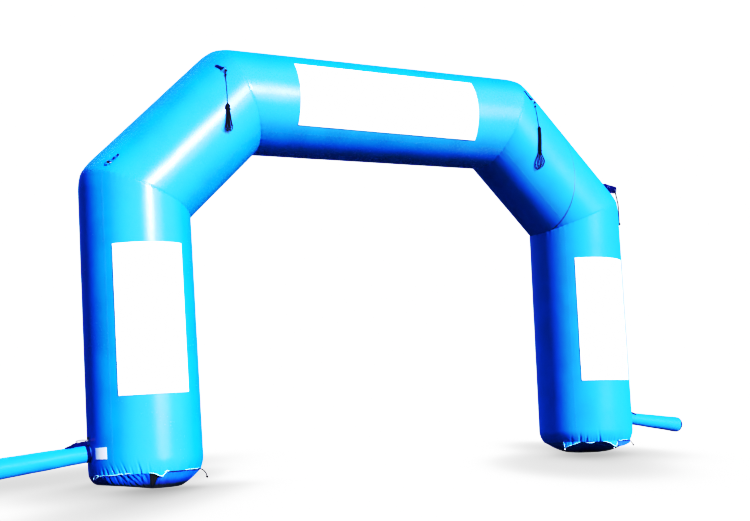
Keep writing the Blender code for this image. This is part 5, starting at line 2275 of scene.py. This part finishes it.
def make_sleeves(cloth: CoatedCloth, webbing: Webbing) -> None:
    """Makes the air sleeves with their ties and the spare one's end patch.

    Args:
        cloth: The sleeves' cloth.
        webbing: The ties' webbing.
    """
    line = BLOWER_LINE
    wall, depth = 0.003, 0.30
    outer = [(d, line.root_radius + line.growth * d) for d in (0.0, 0.3, 0.6, 0.9, line.length - 0.004)]
    lip = [(line.length, line.root_radius + line.growth * line.length - wall / 2.0)]
    ends = (line.length - 0.004, line.length - depth)
    inner = [(d, line.root_radius + line.growth * d - wall) for d in ends]
    blower = AirSleeve("blower_sleeve", line, tuple(outer + lip + inner), cloth)
    blower.build("tube_cloth")

    line = SPARE_LINE
    straight, end_round, flat_radius = line.length - 0.07, 0.07, 0.045
    full = line.root_radius + line.growth * straight
    profile = [(d, line.root_radius + line.growth * d) for d in (0.0, 0.3, 0.6, straight)]
    for turn in np.radians(np.linspace(6.0, 90.0, 15)):
        radius = flat_radius + (full - flat_radius) * math.cos(turn)
        profile.append((straight + end_round * math.sin(turn), radius))
    spare = AirSleeve("spare_sleeve", line, tuple(profile), cloth, seed=37)
    spare.build("tube_cloth")

    patch = profile[6:] + [(line.length + 0.0016, 0.042), (line.length + 0.0017, 0.010)]
    flat_web = Webbing("patch_webbing").make()
    mesh = sleeve_cover("spare_sleeve_patch", line, tuple(patch), True)
    add_piece("end_patch_spare_sleeve", mesh, flat_web, "webbing", "spare_sleeve_patch")
    lifts = ((0.001, 0.0), (0.003, 0.002), (0.036, 0.002), (0.040, 0.0))
    collar = tuple((d, BLOWER_LINE.root_radius + lift) for d, lift in lifts)
    mesh = sleeve_cover("blower_sleeve_collar", BLOWER_LINE, collar, False)
    add_piece("collar_blower_sleeve", mesh, flat_web, "webbing")

    across = (0.0, 1.0, 0.0)
    out = (-1.0, 0.0, 0.0)
    Strap(
        "sleeve_tie_left",
        course=((-3.5905, 0.0, 0.5498), (-3.5905, 0.0, 0.5228), (-3.5965, 0.0, 0.5102), (-3.6196, 0.0, 0.503),
                (-3.6596, 0.0, 0.5024), (-3.7047, 0.0, 0.4953), (-3.7448, 0.0, 0.4776),
                (-3.7849, 0.0, 0.456), (-3.825, 0.0, 0.4433)),
        across=(across,) * 9, up=(out, out, (-0.8, 0.0, 0.6)) + ((0.0, 0.0, 1.0),) * 6,
        webbing=webbing, nodes=("blower_sleeve_tie",), cup=0.002,
    ).build()
    upright = (0.0, 0.15, 1.0)
    tail = ((-3.600, -0.020, 0.478), (-3.640, -0.024, 0.479), (-3.690, -0.018, 0.470),
            (-3.735, -0.024, 0.466), (-3.765, -0.020, 0.456), (-3.830, -0.020, 0.444))
    Strap(
        "sleeve_tie_left_tail", course=tail,
        across=(upright, (0.0, 0.1, 1.0), (0.0, 0.3, 1.0), (0.0, 0.1, 1.0), (0.0, 0.8, 0.6), (0.0, 1.0, 0.1)),
        up=((0.0, -1.0, 0.1),) * 5 + ((0.0, -0.1, 1.0),), webbing=webbing, nodes=(), cup=0.002,
    ).build()
    edge = spaced(((-3.594, -0.032, 0.513), (-3.625, -0.036, 0.517), (-3.660, -0.032, 0.519),
                   (-3.700, -0.030, 0.516), (-3.722, -0.028, 0.506)), 0.006)
    add_piece("sleeve_tie_left_edge", round_cord("sleeve_tie_left_edge", edge, 0.0065),
              Thread("tie_edge", (0.11, 0.11, 0.12)).make(), "webbing")
    out = (1.0, 0.0, 0.0)
    Strap(
        "sleeve_tie_right",
        course=((3.5934, 0.0, 0.5666), (3.5934, 0.0, 0.5416), (3.5984, 0.0, 0.529), (3.6124, 0.0, 0.5192),
                (3.6375, 0.0, 0.5118), (3.6627, 0.0, 0.5060), (3.7000, -0.012, 0.5060),
                (3.7450, -0.030, 0.4980), (3.7800, -0.044, 0.4800), (3.8100, -0.056, 0.4640)),
        across=(across,) * 7 + ((0.0, 0.7, 0.7),) * 3,
        up=(out, out, (0.8, 0.0, 0.6)) + ((0.0, 0.0, 1.0),) * 4 + ((0.0, -0.7, 0.7),) * 3,
        webbing=webbing, nodes=("spare_sleeve_tie",), width=0.030, cup=0.001,
    ).build()


def make_panels() -> None:
    """Makes the three banner panels and the care patch."""
    right = COURSES["leg_right"].span
    middle = COURSES["crown_beam"].span / 2.0
    leg_cloth = BannerCloth(
        "leg_panel_cloth", half_width=math.radians(37.7) * TUBE_RADIUS, half_length=0.790
    ).make()
    crown_cloth = BannerCloth(
        "crown_panel_cloth", half_width=math.radians(38.0) * TUBE_RADIUS, half_length=1.219
    ).make()
    TubeSheet(
        "panel_leg_left", "leg_left", stations=(0.957, 2.543), angles=(-34.3, 41.2), thickness=0.0015,
        material=leg_cloth, slot="panel_cloth", seed=3,
    ).build()
    TubeSheet(
        "panel_leg_right", "leg_right", stations=(right - 2.517, right - 0.927), angles=(-40.0, 36.2),
        thickness=0.0015, material=leg_cloth, slot="panel_cloth", seed=4,
    ).build()
    TubeSheet(
        "panel_crown", "crown_beam", stations=(middle - 1.245, middle + 1.194), angles=(-36.3, 40.0),
        thickness=0.0015, material=crown_cloth, slot="panel_cloth", rows=200, seed=5, turned=(-2.8, -2.5),
    ).build()
    TubeSheet(
        "care_patch", "leg_left", stations=(0.326, 0.446), angles=(56.5, 73.5), thickness=0.001,
        material=PatchCloth().make(), slot="patch_cloth", lift=0.0012, columns=48, rows=36, seed=6,
    ).build()


def main() -> None:
    """Builds the arch's looks in order."""
    logging.basicConfig(level=logging.INFO, format="%(message)s")
    Studio().build()
    ropes = {
        "guy": Rope("guy_rope").make(),
        "hem": Rope("hem_cord", colour=(0.003, 0.002, 0.006), worn=(0.045, 0.045, 0.085)).make(),
    }
    hang_ropes(ropes)
    seams = {
        "leg_left": (50.0, 180.0), "diagonal_left": (-41.0, 180.0), "crown_beam": (-47.5, 180.0),
        "diagonal_right": (-48.0, 180.0), "leg_right": (-50.0, 180.0),
    }
    for name in COURSES:
        dull = {"diagonal_right": 0.46, "leg_right": 0.52, "leg_left": 0.215}.get(name, 0.245)
        ringed = name == "diagonal_right"
        cloth = CoatedCloth(f"coated_cloth_{name}", roughness=dull, seams=seams[name], ring_seam=ringed)
        TubeLength(name, cloth, columns=480 if name.startswith("leg") else 288).build()
    for foot in (LEFT_FOOT, RIGHT_FOOT):
        BaseBag(foot, BaseCloth(f"base_cloth_{foot.side}")).build()
    make_panels()
    sleeve_cloth = CoatedCloth("coated_cloth_sleeves", roughness=0.52, seams=(-95.0,), radius=0.08)
    make_sleeves(sleeve_cloth, Webbing("tie_webbing"))
    sewn = ((0.004, 0.044),)
    tab_webbing = Webbing("tab_webbing", sewn=sewn).make()
    metal = Metal().make()
    # A lighter copy of the tab webbing, used on the left shoulder's tab.
    lighter_webbing = Webbing("lighter_tab_webbing", colour=(0.001, 0.06, 0.36), sewn=sewn).make()
    for tab in ANCHOR_TABS:
        tab.build(lighter_webbing if tab.place == "shoulder_left" else tab_webbing, metal)
    tab_gusset(tab_webbing)
    lashings = ((-3.3265, -0.412, 3.503), (-3.3720, -0.418, 3.463), (-3.4380, -0.424, 3.412))
    for index, at in enumerate(lashings):
        stopper_knot(f"tab_lashing_{index}", np.array(at), 0.008 + 0.001 * index, 0.004, ropes["guy"])
    trim_hems(CoatedCloth("flap_cloth", roughness=0.5).make())


if __name__ == "__main__":
    main()
